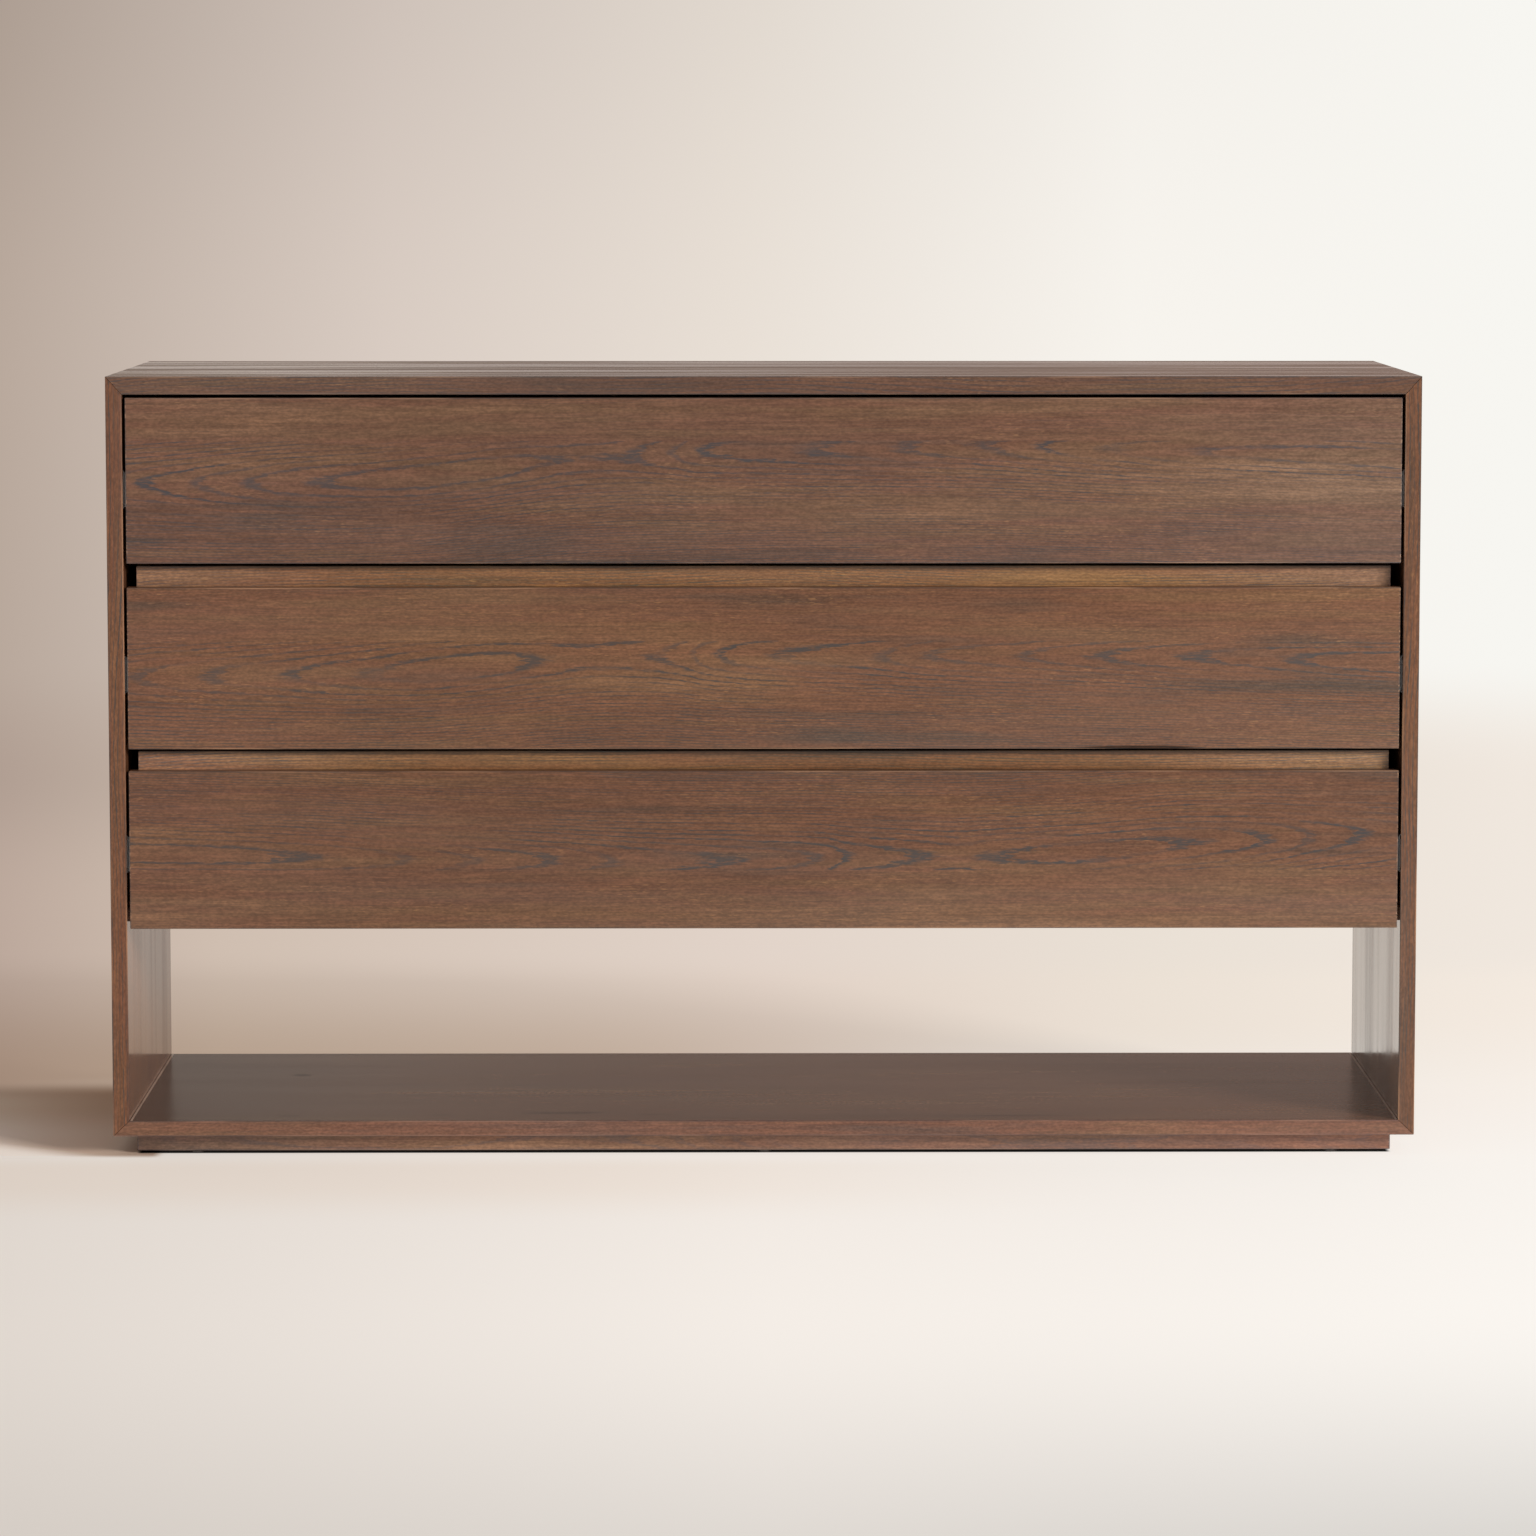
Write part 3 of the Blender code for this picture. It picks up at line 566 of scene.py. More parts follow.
def skin(name, shells, body, material, stands_for=(), sharp=35):
    """A piece of one or more closed shells, each given by its rings of points: (shell, ring, point, XYZ).

    Each ring is joined point for point to the next one, and the first and the last are filled.
    """
    shells = np.asarray(shells, float)
    copies, rings, around, _ = shells.shape
    starts = np.arange(copies)[:, None, None] * rings * around
    here = starts + np.arange(rings - 1)[None, :, None] * around + np.arange(around)
    after = starts + np.arange(rings - 1)[None, :, None] * around + (np.arange(around) + 1) % around
    quads = np.stack((here, after, after + around, here + around), -1).reshape(-1, 4)
    first = (starts + np.arange(around)).reshape(-1, around)
    mesh = bpy.data.meshes.new(name)
    faces = quads.tolist() + first[:, ::-1].tolist() + (first + (rings - 1) * around).tolist()
    mesh.from_pydata(shells.reshape(-1, 3).tolist(), [], faces)
    work = bmesh.new()
    work.from_mesh(mesh)
    bmesh.ops.remove_doubles(work, verts=work.verts, dist=1e-6)
    bmesh.ops.recalc_face_normals(work, faces=work.faces)
    work.to_mesh(mesh)
    work.free()
    mesh.shade_smooth()
    mesh.set_sharp_from_angle(angle=math.radians(sharp))
    mesh.materials.append(material)
    piece = bpy.data.objects.new(name, mesh)
    bpy.context.scene.collection.objects.link(piece)
    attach(piece, body)
    if stands_for:
        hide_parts(*stands_for)
    return piece


def arc(centre, radius, start, stop):
    """Points about every six degrees on an arc between two angles."""
    angles = np.radians(np.linspace(start, stop, max(2, round(abs(stop - start) / 6) + 1)))
    return np.array(centre) + radius * np.stack((np.cos(angles), np.sin(angles)), -1)


def slide_profiles(slide_height):
    """Centre lines of the three members' upper halves, and the middles of the two balls between them.

    The case member curls over the outer ball. The runner's flange starts from its own web, dips under
    the outer ball and, after an inflection, curls over the inner ball. The drawer member's flange lies
    under the inner ball and bends down into its web against the drawer.
    """
    sheet = STEEL / 2
    free_race = BALL_RADIUS + BALL_CLEARANCE + sheet
    held_race = BALL_RADIUS - BALL_SEAT + sheet
    case_web = SEAT + sheet
    outer_ball = np.array((case_web + free_race, slide_height / 2 - sheet - free_race))
    case_member = arc(outer_ball, free_race, 180, CASE_CURL)
    flange = outer_ball[1] - held_race
    bend = (case_web + STEEL + MEMBER_CLEARANCE + BEND_RADIUS, flange - BEND_RADIUS)
    turn = math.radians(BALLS_TILT)
    inner_ball = outer_ball + 2 * held_race * np.array((math.cos(turn), math.sin(turn)))
    runner = np.concatenate((
        arc(bend, BEND_RADIUS, 180, 90),
        arc(outer_ball, held_race, RUNNER_DIP, BALLS_TILT),
        arc(inner_ball, held_race, BALLS_TILT - 180, RUNNER_CURL)[1:],
    ))
    corner = (SLIDE_SPACE - SEAT - sheet - BEND_RADIUS, inner_ball[1] - free_race - BEND_RADIUS)
    foot = arc(corner, BEND_RADIUS, 0, 90)
    drawer_member = np.concatenate((foot, arc(inner_ball, free_race, 270, DRAWER_CURL)))
    return (case_member, runner, drawer_member), (outer_ball, inner_ball)


def strip_outline(upper_half):
    """The closed outline of bent strip, of which upper_half is the centre line above the slide's middle.

    The centre line's points move half of the steel to each side, square to the mean direction between
    their neighbours.
    """
    line = np.concatenate((upper_half[::-1] * (1, -1), upper_half))
    along = np.gradient(line, axis=0)
    along /= np.linalg.norm(along, axis=1, keepdims=True)
    aside = np.stack((-along[:, 1], along[:, 0]), -1) * STEEL / 2
    return np.concatenate((line + aside, (line - aside)[::-1]))


def turned(radii, heights, around):
    """Rings of points about an axis: (ring, point, XYZ), with the height along Z."""
    turn = np.linspace(0, 2 * np.pi, around, endpoint=False)
    radii, heights = np.asarray(radii, float)[:, None], np.asarray(heights, float)[:, None]
    return np.stack((radii * np.cos(turn), radii * np.sin(turn), heights + 0 * turn), -1)


def screw_head(radius, height):
    """A domed head with a cross recess: every fourth spoke of the inner rings sinks towards the middle."""
    rings = np.array((0.0, 0.22, 0.50, 0.62, 0.86, 1.0, 1.0))
    rise = height * np.array((1.0, 0.98, 0.93, 0.90, 0.72, 0.35, 0.0))
    head = turned(radius * rings, rise, HEAD_SPOKES)
    head[:3, ::4, 2] -= 0.75 * height * np.array((1.0, 1.0, 0.7))[:, None]
    head[0, :, 2] = 0.25 * height
    return head


def screws(name, places, facing, size, body, material):
    """Heads of this radius and height at these places, each with its axis along facing."""
    turn = Vector(facing).to_track_quat("Z", "Y").to_matrix()
    head = screw_head(*size) @ np.array(turn).T
    return skin(name, head + np.array(places)[:, None, None, :], body, material)


slide_finish = zinc_plate()
case_low, case_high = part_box("slide_case_top_left")
members, balls = slide_profiles(case_high.z - case_low.z)
polar = np.linspace(0, np.pi, BALL_RINGS)
ball = turned(BALL_RADIUS * np.sin(polar), BALL_RADIUS * np.cos(polar), BALL_SPOKES)
drawer_web = SLIDE_SPACE - SEAT - STEEL
for level in ("top", "middle", "bottom"):
    low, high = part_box(f"slide_case_{level}_left")
    length, height, wall = high.y - low.y, (low.z + high.z) / 2, low.x - SEAT
    for way, side in ((1, "left"), (-1, "right")):

        def placed(u, y, v):
            """Points of one slide in the dresser: u from the case towards the drawer, v up its middle."""
            return np.stack(np.broadcast_arrays(way * (wall + u), low.y + y, height + v), -1)

        for part, profile in zip(("case", "runner", "drawer"), members):
            outline = strip_outline(profile)
            node = f"slide_{part}_{level}_{side}"
            body = {"case": "case", "runner": f"runners_{level}", "drawer": f"drawer_{level}"}[part]
            rings = placed(outline[:, 0], np.array((0.0, length))[:, None], outline[:, 1])
            skin(f"{node}_member", rings[None], body, slide_finish, (node,))
        first = np.arange(BALLS_IN_ROW) * BALL_PITCH
        centres = [
            placed(u, start + first, half * v)
            for (u, v), start in zip(balls, (length - ROW_INSET - first[-1], ROW_INSET))
            for half in (1, -1)
        ]
        shells = np.concatenate(centres)[:, None, None, :] + ball
        skin(f"slide_balls_{level}_{side}", shells, f"runners_{level}", slide_finish)
        rows = np.array((SCREW_INSET, length / 2, length - SCREW_INSET))
        screws(
            f"slide_screws_drawer_{level}_{side}",
            placed(drawer_web, rows, 0.0), (-way, 0, 0), PAN_HEAD, f"drawer_{level}", slide_finish,
        )
        screws(
            f"slide_screws_case_{level}_{side}",
            placed(SEAT + STEEL, rows, 0.0), (way, 0, 0), LOW_HEAD, "case", slide_finish,
        )

# Flat-head screws hold the back panel into its rabbets: six above, six below and three at each side. Each
# inset is measured from the panel's edge.
BACK_ROW_INSET = 0.06
BACK_LOW_INSET = 0.012
BACK_HIGH_INSET = 0.006
BACK_SIDE_INSET = 0.004
BACK_COLUMN_INSET = 0.15

low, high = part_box("back_panel")
back_places = [
    (x, high.y, z)
    for z in (low.z + BACK_LOW_INSET, high.z - BACK_HIGH_INSET)
    for x in np.linspace(low.x + BACK_ROW_INSET, high.x - BACK_ROW_INSET, 6)
]
back_places += [
    (side * (high.x - BACK_SIDE_INSET), high.y, z)
    for side in (-1, 1)
    for z in np.linspace(low.z + BACK_COLUMN_INSET, high.z - BACK_COLUMN_INSET, 3)
]
screws("back_screws", back_places, (0, 1, 0), FLAT_HEAD, "case", slide_finish)

# The drawer boxes: birch sides and back in a clear lacquer, dovetailed, round a thin bottom in a groove. The
# box's front is veneered oak, because its top shows as a strip above the applied front.
BIRCH_PALE = (0.62, 0.46, 0.29)
BIRCH_WARM = (0.52, 0.35, 0.19)
BIRCH_GLOSS = 0.42
BIRCH_GRAIN = 0.00004
# Painted light: the box front is lighter, its face much lighter and, on the middle and bottom strips, its
# ends lighter still, where the strips lie in the gaps' shade. Its top is darkened as painted shade under the
# front above.
BOX_FRONT_TINT = (1.20, 1.16, 1.10)
BOX_FRONT_PAINTED_SHADE = (0.0075, 0.33)
STRIPS = {
    "top": {"facing": (1.80, 1.85, 1.45)},
    "middle": {"facing": (1.82, 1.88, 1.41), "ends": ((1.0, 1.0, 1.39), (0.96, 1.04, 1.55))},
    "bottom": {"facing": (1.58, 1.52, 1.09), "ends": ((1.48, 1.65, 2.26), (1.51, 1.80, 2.35))},
}


def middle(name):
    """The middle of a piece's box."""
    low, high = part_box(name)
    return (low + high) / 2


def clear_birch(name, grain, across, centre, seed):
    """Pale birch under clear lacquer, with fine lines along its grain."""
    birch = Finish(name, BIRCH_GLOSS)
    place = birch.laid(grain, across, centre)
    broad = birch.cloud(place, (1.5, 14, 14), seed, 3.0)
    fine = birch.cloud(place, (12, 420, 420), seed + 1, 3.0)
    mixed = birch.calc("MULTIPLY_ADD", fine, 0.45, birch.calc("MULTIPLY", broad, 0.55))
    colour = birch.graded(mixed, ((0.36, BIRCH_WARM), (0.62, BIRCH_PALE)))
    birch.feed(birch.shader.inputs["Base Color"], colour)
    birch.feed(birch.shader.inputs["Roughness"], birch.rise(fine, 0.3, 0.7, 0.36, 0.48))
    birch.relief(fine, BIRCH_GRAIN)
    return birch.material


for number, level in enumerate(("top", "middle", "bottom")):
    drawer = f"drawer_{level}"
    seed = 20.0 + 3 * number
    strip = f"{drawer}_box_front"
    finish_node(strip, stained_oak(
        strip, X, Z, seed, tint=BOX_FRONT_TINT, painted_edge_shade=BOX_FRONT_PAINTED_SHADE, **STRIPS[level]
    ))
    for piece, grain, across in (
        ("side_left", Y, Z),
        ("side_right", Y, Z),
        ("box_back", X, Z),
        ("base", X, Y),
        ("batten", Y, X),
    ):
        board = f"{drawer}_{piece}"
        finish_node(board, clear_birch(f"birch_{board}", grain, across, middle(board), seed))

# The applied fronts: veneered boards with eased edges and no handle, screwed on from inside the box. Each is
# laid from two leaves of veneer, one with the log's arches in it and one of straight grain.
# Painted light: the fronts' tints lighten them, and their ends are painted lighter, a painted sheen towards
# both ends.
FRONT_FIGURES = {
    "top": {
        "depths": (
            (-0.745, 23.3), (-0.66, 22.0), (-0.605, 21.0), (-0.52, 20.0), (-0.34, 19.3), (-0.20, 20.1),
            (-0.11, 19.0), (-0.075, 18.0), (0.04, 17.0), (0.15, 16.0), (0.25, 15.0), (0.32, 14.0),
            (0.39, 13.0), (0.50, 12.0), (0.745, 11.2),
        ),
        "heart": ((-0.745, -0.005), (-0.50, 0.000), (-0.20, 0.026), (0.10, 0.036), (0.745, 0.026)),
        "joint": (0.046, 1),
        "tint": (1.12, 1.13, 1.15),
        "ends": ((1.20, 1.18, 1.20), (1.05, 1.16, 1.26)),
    },
    "middle": {
        "depths": (
            (-0.745, 24.1), (-0.65, 23.0), (-0.555, 22.0), (-0.46, 21.0), (-0.35, 20.3), (-0.25, 21.0),
            (-0.20, 21.4), (-0.135, 21.0), (-0.085, 20.0), (-0.07, 19.4), (0.01, 18.0), (0.13, 17.0),
            (0.19, 16.0), (0.30, 15.0), (0.39, 14.0), (0.49, 13.0), (0.745, 11.0),
        ),
        "heart": ((-0.745, -0.010), (-0.45, -0.003), (-0.10, 0.014), (0.30, 0.016), (0.745, 0.008)),
        "joint": (0.032, 1),
        "tint": (1.23, 1.16, 1.02),
        "ends": ((1.16, 1.15, 1.20), (1.04, 1.08, 1.12)),
        "marks": ((0.44, -0.0925, 0.075, 0.0022, 0.35),),
    },
    "bottom": {
        "depths": (
            (-0.745, 12.2), (-0.51, 13.0), (-0.41, 14.0), (-0.33, 15.0), (-0.245, 16.0), (-0.165, 17.0),
            (-0.04, 18.0), (0.065, 19.0), (0.10, 20.0), (0.19, 21.0), (0.225, 21.3), (0.26, 21.0),
            (0.36, 20.5), (0.50, 21.0), (0.59, 22.0), (0.64, 23.0), (0.745, 24.6),
        ),
        "heart": ((-0.745, -0.004), (0.20, -0.010), (0.50, 0.008), (0.745, 0.018)),
        "joint": (-0.024, -1),
        "tint": (1.12, 1.05, 0.94),
        "ends": ((1.16, 1.15, 1.20), (1.04, 1.08, 1.12)),
    },
}
SMOOTH_BELOW = 30
EDGE_ROUND = 0.0009
BEVEL_HEIGHT = 0.016
BEVEL_DEPTH = 0.009
FRONT_SCREW_END = 0.10
FRONT_SCREW_LOW = 0.045
FRONT_SCREW_HIGH = 0.035


def eased_board(corners, radius, start, stop, steps=5):
    """Rings of points along X round a board with this convex outline of (Y, Z) corners, all edges rounded.

    A corner becomes an arc that turns from the one side's outward direction to the next one's. Towards
    each end the arcs shrink to their centres along a quarter circle of the same radius.
    """
    corners = np.array(corners)
    sides = np.roll(corners, -1, 0) - corners
    facing = np.arctan2(-sides[:, 0], sides[:, 1])
    before = np.roll(facing, 1)
    swing = (facing - before + np.pi) % (2 * np.pi) - np.pi
    angles = before[:, None] + swing[:, None] * np.linspace(0, 1, steps)
    outward = np.stack((np.cos(angles), np.sin(angles)), -1)
    inset = radius / np.cos(swing / 2)
    middle_angle = before + swing / 2
    centres = corners - inset[:, None] * np.stack((np.cos(middle_angle), np.sin(middle_angle)), -1)
    turn = np.linspace(0, np.pi / 2, steps)
    x = np.concatenate((start + radius * (1 - np.cos(turn)), stop - radius * (1 - np.cos(turn[::-1]))))
    reach = radius * np.concatenate((np.sin(turn), np.sin(turn[::-1])))
    points = centres[None, :, None, :] + reach[:, None, None, None] * outward
    points = points.reshape(len(x), -1, 2)
    return np.concatenate((np.broadcast_to(x[:, None, None], points.shape[:2] + (1,)), points), -1)


for number, (level, details) in enumerate(FRONT_FIGURES.items()):
    board = f"drawer_{level}_front"
    low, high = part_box(board)
    corners = (
        (low.y, low.z),
        (high.y - BEVEL_DEPTH, low.z),
        (high.y, low.z + BEVEL_HEIGHT),
        (high.y, high.z),
        (low.y, high.z),
    )
    rings = eased_board(corners, EDGE_ROUND, low.x, high.x)
    finish = stained_oak(board, X, Z, 40.0 + 5 * number, **details)
    skin(f"{board}_board", rings[None], f"drawer_{level}", finish, (board,), SMOOTH_BELOW)
    # Four pairs of screws, through the box's front from inside, hold the applied front.
    low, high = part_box(f"drawer_{level}_box_front")
    places = [
        (x, high.y, z)
        for x in (low.x + FRONT_SCREW_END, low.x / 3, high.x / 3, high.x - FRONT_SCREW_END)
        for z in (low.z + FRONT_SCREW_LOW, high.z - FRONT_SCREW_HIGH)
    ]
    screws(f"front_screws_{level}", places, (0, 1, 0), PAN_HEAD, f"drawer_{level}", slide_finish)

# The studio: a pale paper floor that runs on into a curved backdrop all round. Its tones hold a painted
# falloff of light: darker and warmer on the left, more so high up and far back, and darker towards the front.
# Each tone is a function of how far to the right, how deep and how high a place is.
FLOOR_RADIUS = 9.0
SWEEP_RADIUS = 2.5
WALL_HEIGHT = 6.0
FLOOR_NEAR = ((0.0, (0.73, 0.675, 0.625)), (0.5, (0.865, 0.82, 0.775)), (1.0, (0.89, 0.865, 0.83)))
FLOOR_FAR = (
    (0.0, (0.50, 0.39, 0.33)),
    (0.15, (0.625, 0.515, 0.435)),
    (0.5, (0.76, 0.655, 0.585)),
    (0.75, (0.82, 0.745, 0.665)),
    (1.0, (0.87, 0.80, 0.73)),
)
SHADE_BEHIND = (0.785, 0.715, 0.64)
SHADE_BESIDE = (0.58, 0.475, 0.41)
SHADE_IN_FRONT = (0.97, 0.93, 0.895)
SHADE_UNDER = (0.010, 0.009, 0.008)
WALL = (
    (0.0, (0.47, 0.38, 0.32)),
    (0.27, (0.69, 0.60, 0.54)),
    (0.5, (0.81, 0.74, 0.67)),
    (0.75, (0.93, 0.90, 0.85)),
    (1.0, (0.93, 0.92, 0.88)),
)
# What the lacquer mirrors of the wall, low down and high up.
GLOSS_LOW = ((0.2, (1.02, 0.92, 0.84)), (0.38, (0.875, 0.786, 0.729)), (0.8, (0.77, 0.66, 0.61)))
GLOSS_HIGH = ((0.2, (0.19, 0.125, 0.090)), (0.38, (0.15, 0.085, 0.055)), (0.8, (0.23, 0.135, 0.095)))
SPREAD = 0.93
SPREAD_GROWTH = 0.15
SPREAD_LEAST = 0.4
FLOOR_GAIN = 2.5
SWEEP_STEPS = 13
# Where each tone starts and stops, in metres to the right, in depth, in height or from the middle.
MIRROR_HEIGHTS = (0.85, 2.1)
WALL_DUSK = (0.5, 2.0, 0.0, 0.16)
FLOOR_DUSK = (1.8, 3.6, 0.0, 0.14)
FLOOR_EDGE = (3.7, 6.1)
VIGNETTE = (-2.4, -1.0)
# Where each shade starts, is full, fades and stops.
BEHIND_DEPTH = (-0.1, 0.1, 0.2, 1.35)
BESIDE_DEPTH = (-0.235, -0.212, 0.19, 0.28)
BESIDE_WIDTH = (-1.15, -0.76, -0.720, -0.705)
BESIDE_SLOPE = (-0.62, -0.708)
IN_FRONT_DEPTH = (-0.62, -0.38, -0.3, -0.2)
SHADOW_DEPTH = (-0.232, -0.206, 0.17, 0.27)
SHADOW_WIDTH = (-0.720, -0.700)
SHADOW_FAINT = 0.78


def turned_sheet(name, radii, heights, around=96):
    """A surface turned about Z: each pair of radius and height is a ring of points at even angles."""
    points = turned(radii, heights, around).reshape(-1, 3)
    ring, step = np.meshgrid(np.arange(len(radii) - 1), np.arange(around), indexing="ij")
    after = (step + 1) % around
    here, beyond = ring * around, (ring + 1) * around
    quads = np.stack((here + step, here + after, beyond + after, beyond + step), -1).reshape(-1, 4)
    mesh = bpy.data.meshes.new(name)
    mesh.from_pydata(points.tolist(), [], quads.tolist())
    mesh.shade_smooth()
    piece = bpy.data.objects.new(name, mesh)
    bpy.context.scene.collection.objects.link(piece)
    return piece


bend = np.radians(np.linspace(0, 90, SWEEP_STEPS))
sweep = turned_sheet(
    "backdrop",
    [*(FLOOR_RADIUS + SWEEP_RADIUS * np.sin(bend)), FLOOR_RADIUS + SWEEP_RADIUS],
    [*(SWEEP_RADIUS * (1 - np.cos(bend))), WALL_HEIGHT],
)
floor = turned_sheet("floor", (0.001, 1.0, 2.0, 4.0, FLOOR_RADIUS), (0, 0, 0, 0, 0))


def studio_share(finish, place):
    """How far to the right a place is, from 0 to 1. The tones spread out towards the back."""
    x, y, _ = finish.parts(place)
    spread = finish.calc("MAXIMUM", finish.calc("MULTIPLY_ADD", y, SPREAD_GROWTH, SPREAD), SPREAD_LEAST)
    return finish.calc("MULTIPLY_ADD", finish.calc("DIVIDE", x, spread), 0.5, 0.5, clamp=True)


paper = Finish("backdrop_paper", 1.0)
place = paper.laid(X, Y, (0, 0, 0))
share = studio_share(paper, place)
height = paper.parts(place)[2]
dusk = paper.calc("MULTIPLY", paper.calc("SUBTRACT", 1.0, share), paper.rise(height, *WALL_DUSK))
tone = paper.tinted(paper.graded(share, WALL), paper.grey(paper.calc("SUBTRACT", 1.0, dusk)))
gloss_tone = paper.blend(
    paper.rise(height, *MIRROR_HEIGHTS), paper.graded(share, GLOSS_LOW), paper.graded(share, GLOSS_HIGH)
)
mirrored = paper.tree.nodes.new("ShaderNodeLightPath").outputs["Is Glossy Ray"]
glow = paper.tree.nodes.new("ShaderNodeEmission")
paper.feed(glow.inputs["Color"], paper.blend(mirrored, tone, gloss_tone))
paper.feed(paper.tree.nodes["Material Output"].inputs["Surface"], glow.outputs[0])
sweep.data.materials.append(paper.material)
sweep.visible_diffuse = False
sweep.visible_shadow = False

ground = Finish("floor_paper", 1.0)
place = ground.laid(X, Y, (0, 0, 0))
x, y, _ = ground.parts(place)
share = studio_share(ground, place)
start = ground.calc("MULTIPLY_ADD", share, -0.45, 0.10)
stop = ground.calc("MULTIPLY_ADD", share, 0.60, 0.28)
near_tone, far_tone = ground.graded(share, FLOOR_NEAR), ground.graded(share, FLOOR_FAR)
tone = ground.blend(ground.rise(y, start, stop), near_tone, far_tone)
dusk = ground.calc("MULTIPLY", ground.calc("SUBTRACT", 1.0, share), ground.rise(y, *FLOOR_DUSK))
tone = ground.tinted(tone, ground.grey(ground.calc("SUBTRACT", 1.0, dusk)))
away = ground.calc("SQRT", ground.squares(x, y))
tone = ground.blend(ground.rise(away, *FLOOR_EDGE), tone, ground.graded(share, WALL))
vignette = ground.rise(y, *VIGNETTE, ground.calc("MULTIPLY_ADD", share, -0.20, 0.82), 1.0)
tone = ground.tinted(tone, ground.grey(vignette))
# Painted shade on the floor: dimmer close behind the case, dimmest beside its left panel, warmer in front
# of it, and near black under the plinth.
behind = ground.calc("MULTIPLY", ground.fall(share, 0.36, 0.74), ground.between(y, *BEHIND_DEPTH))
tone = ground.tinted(tone, SHADE_BEHIND, behind)
edge = ground.calc("SUBTRACT", y, ground.calc("MULTIPLY_ADD", x, *BESIDE_SLOPE))
beside = ground.product(
    ground.rise(edge, -0.04, 0.02),
    ground.between(y, *BESIDE_DEPTH),
    ground.between(x, *BESIDE_WIDTH),
)
tone = ground.tinted(tone, SHADE_BESIDE, beside)
warm = ground.calc("MULTIPLY", ground.between(y, *IN_FRONT_DEPTH), ground.fall(share, 0.35, 0.80))
tone = ground.tinted(tone, SHADE_IN_FRONT, warm)
plinth_low, plinth_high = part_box("plinth_front")
under = ground.calc(
    "MULTIPLY",
    ground.fall(ground.calc("ABSOLUTE", x), plinth_high.x - 0.004, plinth_high.x + 0.003),
    ground.fall(ground.calc("ABSOLUTE", y), -plinth_low.y - 0.004, -plinth_low.y + 0.002),
)
tone = ground.blend(under, tone, SHADE_UNDER)
rays = ground.tree.nodes.new("ShaderNodeLightPath").outputs
seen, mirrored = rays["Is Camera Ray"], rays["Is Glossy Ray"]
matt = ground.tree.nodes.new("ShaderNodeBsdfDiffuse")
gain = ground.grey(ground.calc("MULTIPLY_ADD", seen, FLOOR_GAIN - 1, 1.0))
ground.feed(matt.inputs["Color"], ground.tinted(tone, gain))
glow = ground.tree.nodes.new("ShaderNodeEmission")
sheen = ground.calc("MULTIPLY_ADD", mirrored, ground.rise(x, -0.7, 0.7, -0.12, 0.20), 1.0)
ground.feed(glow.inputs["Color"], ground.tinted(tone, ground.grey(sheen)))
# The lamp's shadow lies to the left of the case, beside its side panel, and is faint elsewhere.
shadow = ground.calc("MULTIPLY", ground.fall(x, *SHADOW_WIDTH), ground.between(y, *SHADOW_DEPTH))
faint = ground.calc("MULTIPLY_ADD", shadow, -SHADOW_FAINT, SHADOW_FAINT)
even = ground.calc("MAXIMUM", faint, ground.rise(y, 0.3, 1.4))
mixer = ground.tree.nodes.new("ShaderNodeMixShader")
ground.feed(mixer.inputs[0], ground.calc("MAXIMUM", even, mirrored))
ground.feed(mixer.inputs[1], matt.outputs[0])
ground.feed(mixer.inputs[2], glow.outputs[0])
ground.feed(ground.tree.nodes["Material Output"].inputs["Surface"], mixer.outputs[0])
floor.data.materials.append(ground.material)

# The light: a wide, low softbox from the front right, and an even room round the object. In reflections the
# room is brighter on the left.
KEY_TURN = math.radians(51)
KEY_RISE = math.radians(15)
KEY_DISTANCE = 10.0
KEY_SIZE = (2.8, 2.0)
KEY_WATTS = 640.0
KEY_TONE = (1.0, 0.96, 0.91)
KEY_AIM = Vector((0, 0, 0.5))
ROOM_LEVEL = 0.28
ROOM_TONE = (1.0, 0.97, 0.94)
SHINE_LEVEL = 0.75
SHINE_LEFT = (1.0, 0.93, 0.86)
SHINE_RIGHT = (0.72, 0.64, 0.58)

key = bpy.data.lights.new("softbox", "AREA")
key.shape = "RECTANGLE"
key.size, key.size_y = KEY_SIZE
key.energy = KEY_WATTS
key.color = KEY_TONE
key_lamp = bpy.data.objects.new("softbox", key)
towards = Vector(
    (math.sin(KEY_TURN) * math.cos(KEY_RISE), -math.cos(KEY_TURN) * math.cos(KEY_RISE), math.sin(KEY_RISE))
)
key_lamp.location = KEY_AIM + KEY_DISTANCE * towards
key_lamp.rotation_euler = towards.to_track_quat("Z", "Y").to_euler()
key_lamp.visible_camera = False
key_lamp.visible_glossy = False
bpy.context.scene.collection.objects.link(key_lamp)

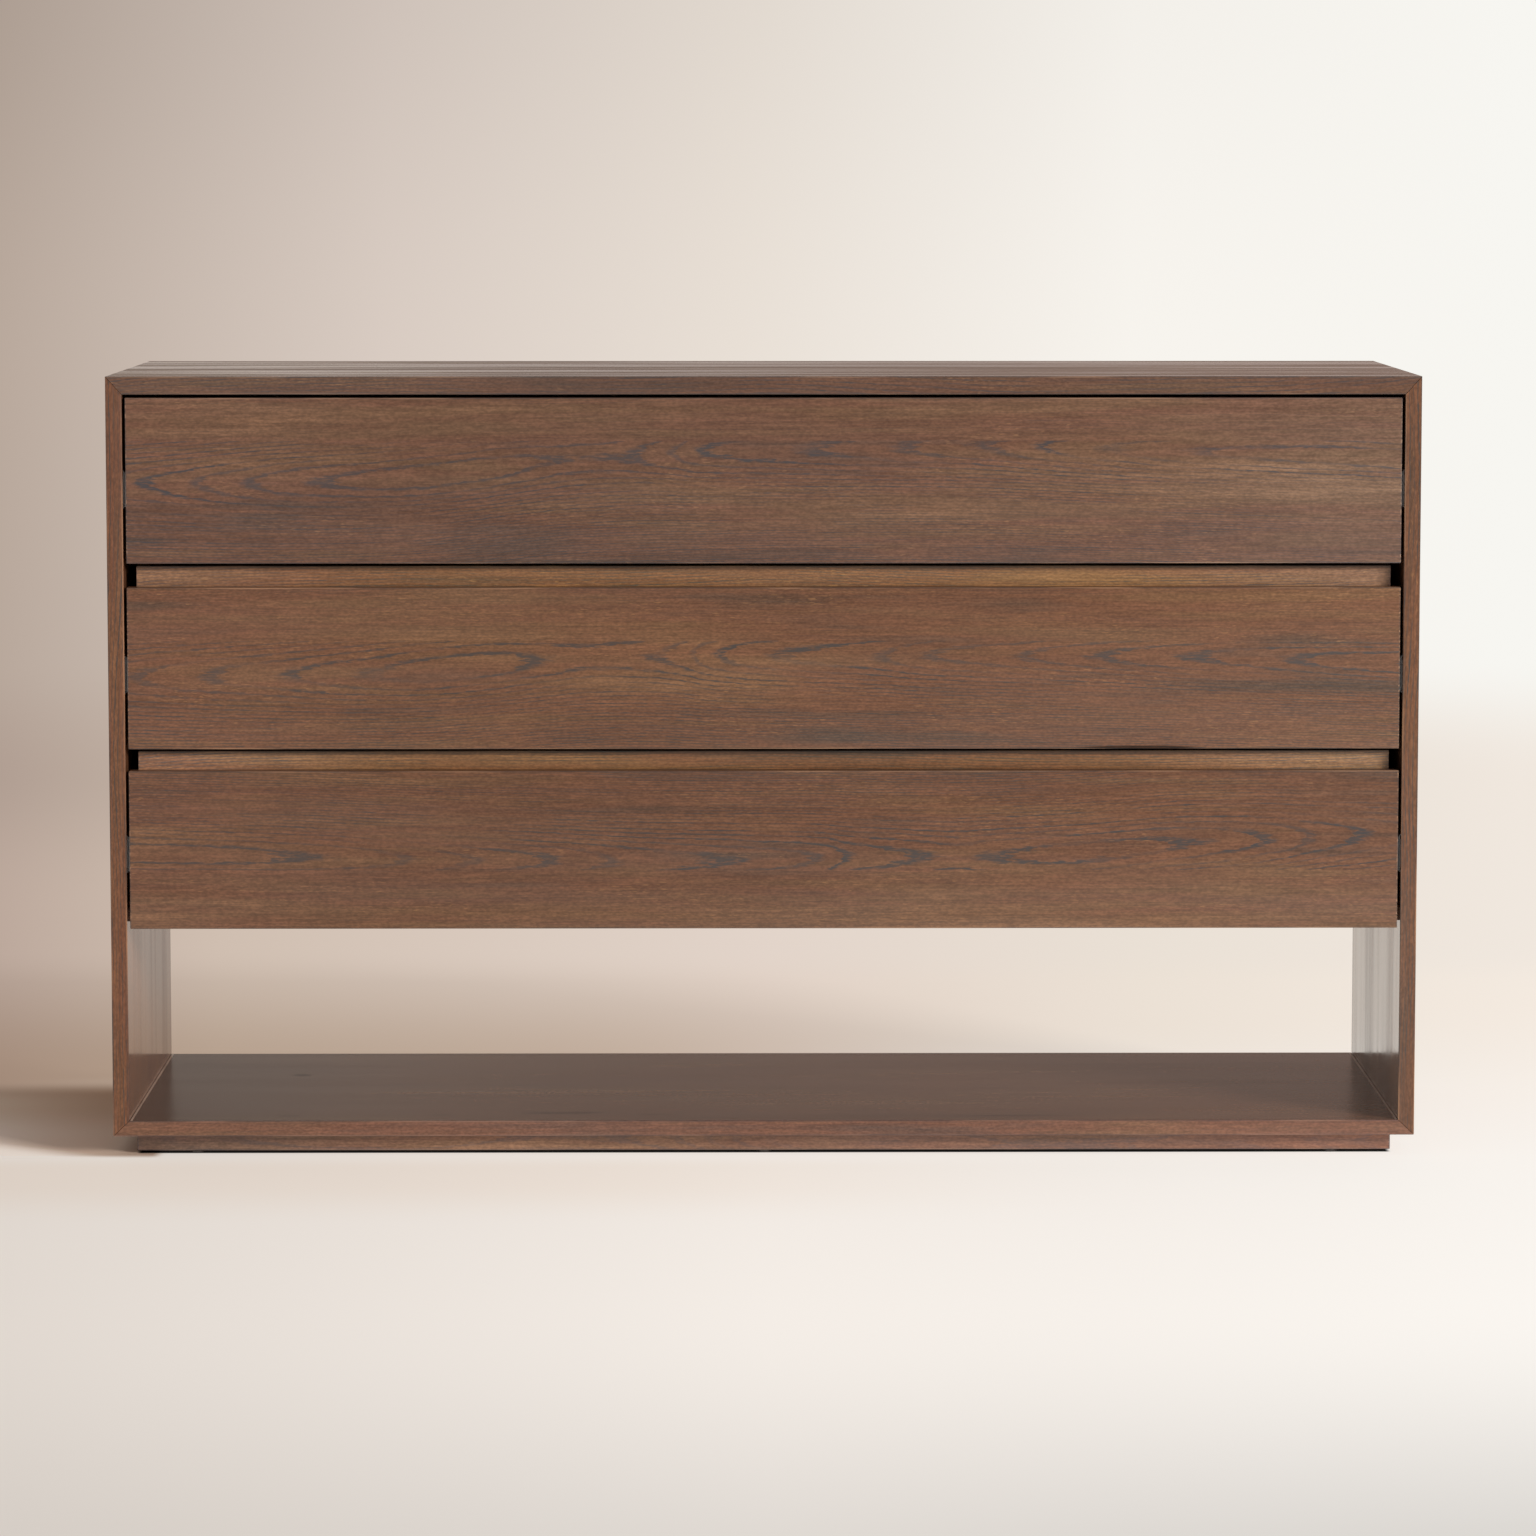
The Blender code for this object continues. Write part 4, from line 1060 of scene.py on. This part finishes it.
world = bpy.data.worlds.new("room")
world.use_nodes = True
bpy.context.scene.world = world
tree = world.node_tree
room = tree.nodes["Background"]
room.inputs["Color"].default_value = (*ROOM_TONE, 1)
room.inputs["Strength"].default_value = ROOM_LEVEL
shine = tree.nodes.new("ShaderNodeBackground")
shine.inputs["Strength"].default_value = SHINE_LEVEL
direction = tree.nodes.new("ShaderNodeTexCoord")
split = tree.nodes.new("ShaderNodeSeparateXYZ")
tree.links.new(direction.outputs["Generated"], split.inputs[0])
ramp = tree.nodes.new("ShaderNodeValToRGB")
ramp.color_ramp.elements[0].color = (*SHINE_LEFT, 1)
ramp.color_ramp.elements[1].color = (*SHINE_RIGHT, 1)
rightward = tree.nodes.new("ShaderNodeMapRange")
tree.links.new(split.outputs[0], rightward.inputs[0])
rightward.inputs["From Min"].default_value = -1.0
rightward.inputs["From Max"].default_value = 1.0
tree.links.new(rightward.outputs[0], ramp.inputs[0])
tree.links.new(ramp.outputs[0], shine.inputs["Color"])
path = tree.nodes.new("ShaderNodeLightPath")
chosen = tree.nodes.new("ShaderNodeMixShader")
tree.links.new(path.outputs["Is Glossy Ray"], chosen.inputs[0])
tree.links.new(room.outputs[0], chosen.inputs[1])
tree.links.new(shine.outputs[0], chosen.inputs[2])
tree.links.new(chosen.outputs[0], tree.nodes["World Output"].inputs["Surface"])

# The camera: a long lens, a little above the top and aimed down at the fronts. Its angles are in degrees, and
# the slight shift keeps the case's sides nearly upright in the picture.
CAMERA_PLACE = (-0.0357, -6.1945, 1.1645)
CAMERA_PITCH = 5.043
CAMERA_YAW = 0.386
CAMERA_LENS = 120.88
CAMERA_SHIFT = -0.1
CAMERA_SENSOR = 36.0

camera = bpy.data.cameras.new("camera")
camera.lens = CAMERA_LENS
camera.sensor_width = CAMERA_SENSOR
camera.shift_y = CAMERA_SHIFT
standpoint = bpy.data.objects.new("camera", camera)
standpoint.location = CAMERA_PLACE
standpoint.rotation_euler = (math.radians(90 - CAMERA_PITCH), 0, math.radians(-CAMERA_YAW))
bpy.context.scene.collection.objects.link(standpoint)
bpy.context.scene.camera = standpoint
bpy.context.scene.view_settings.view_transform = "Standard"
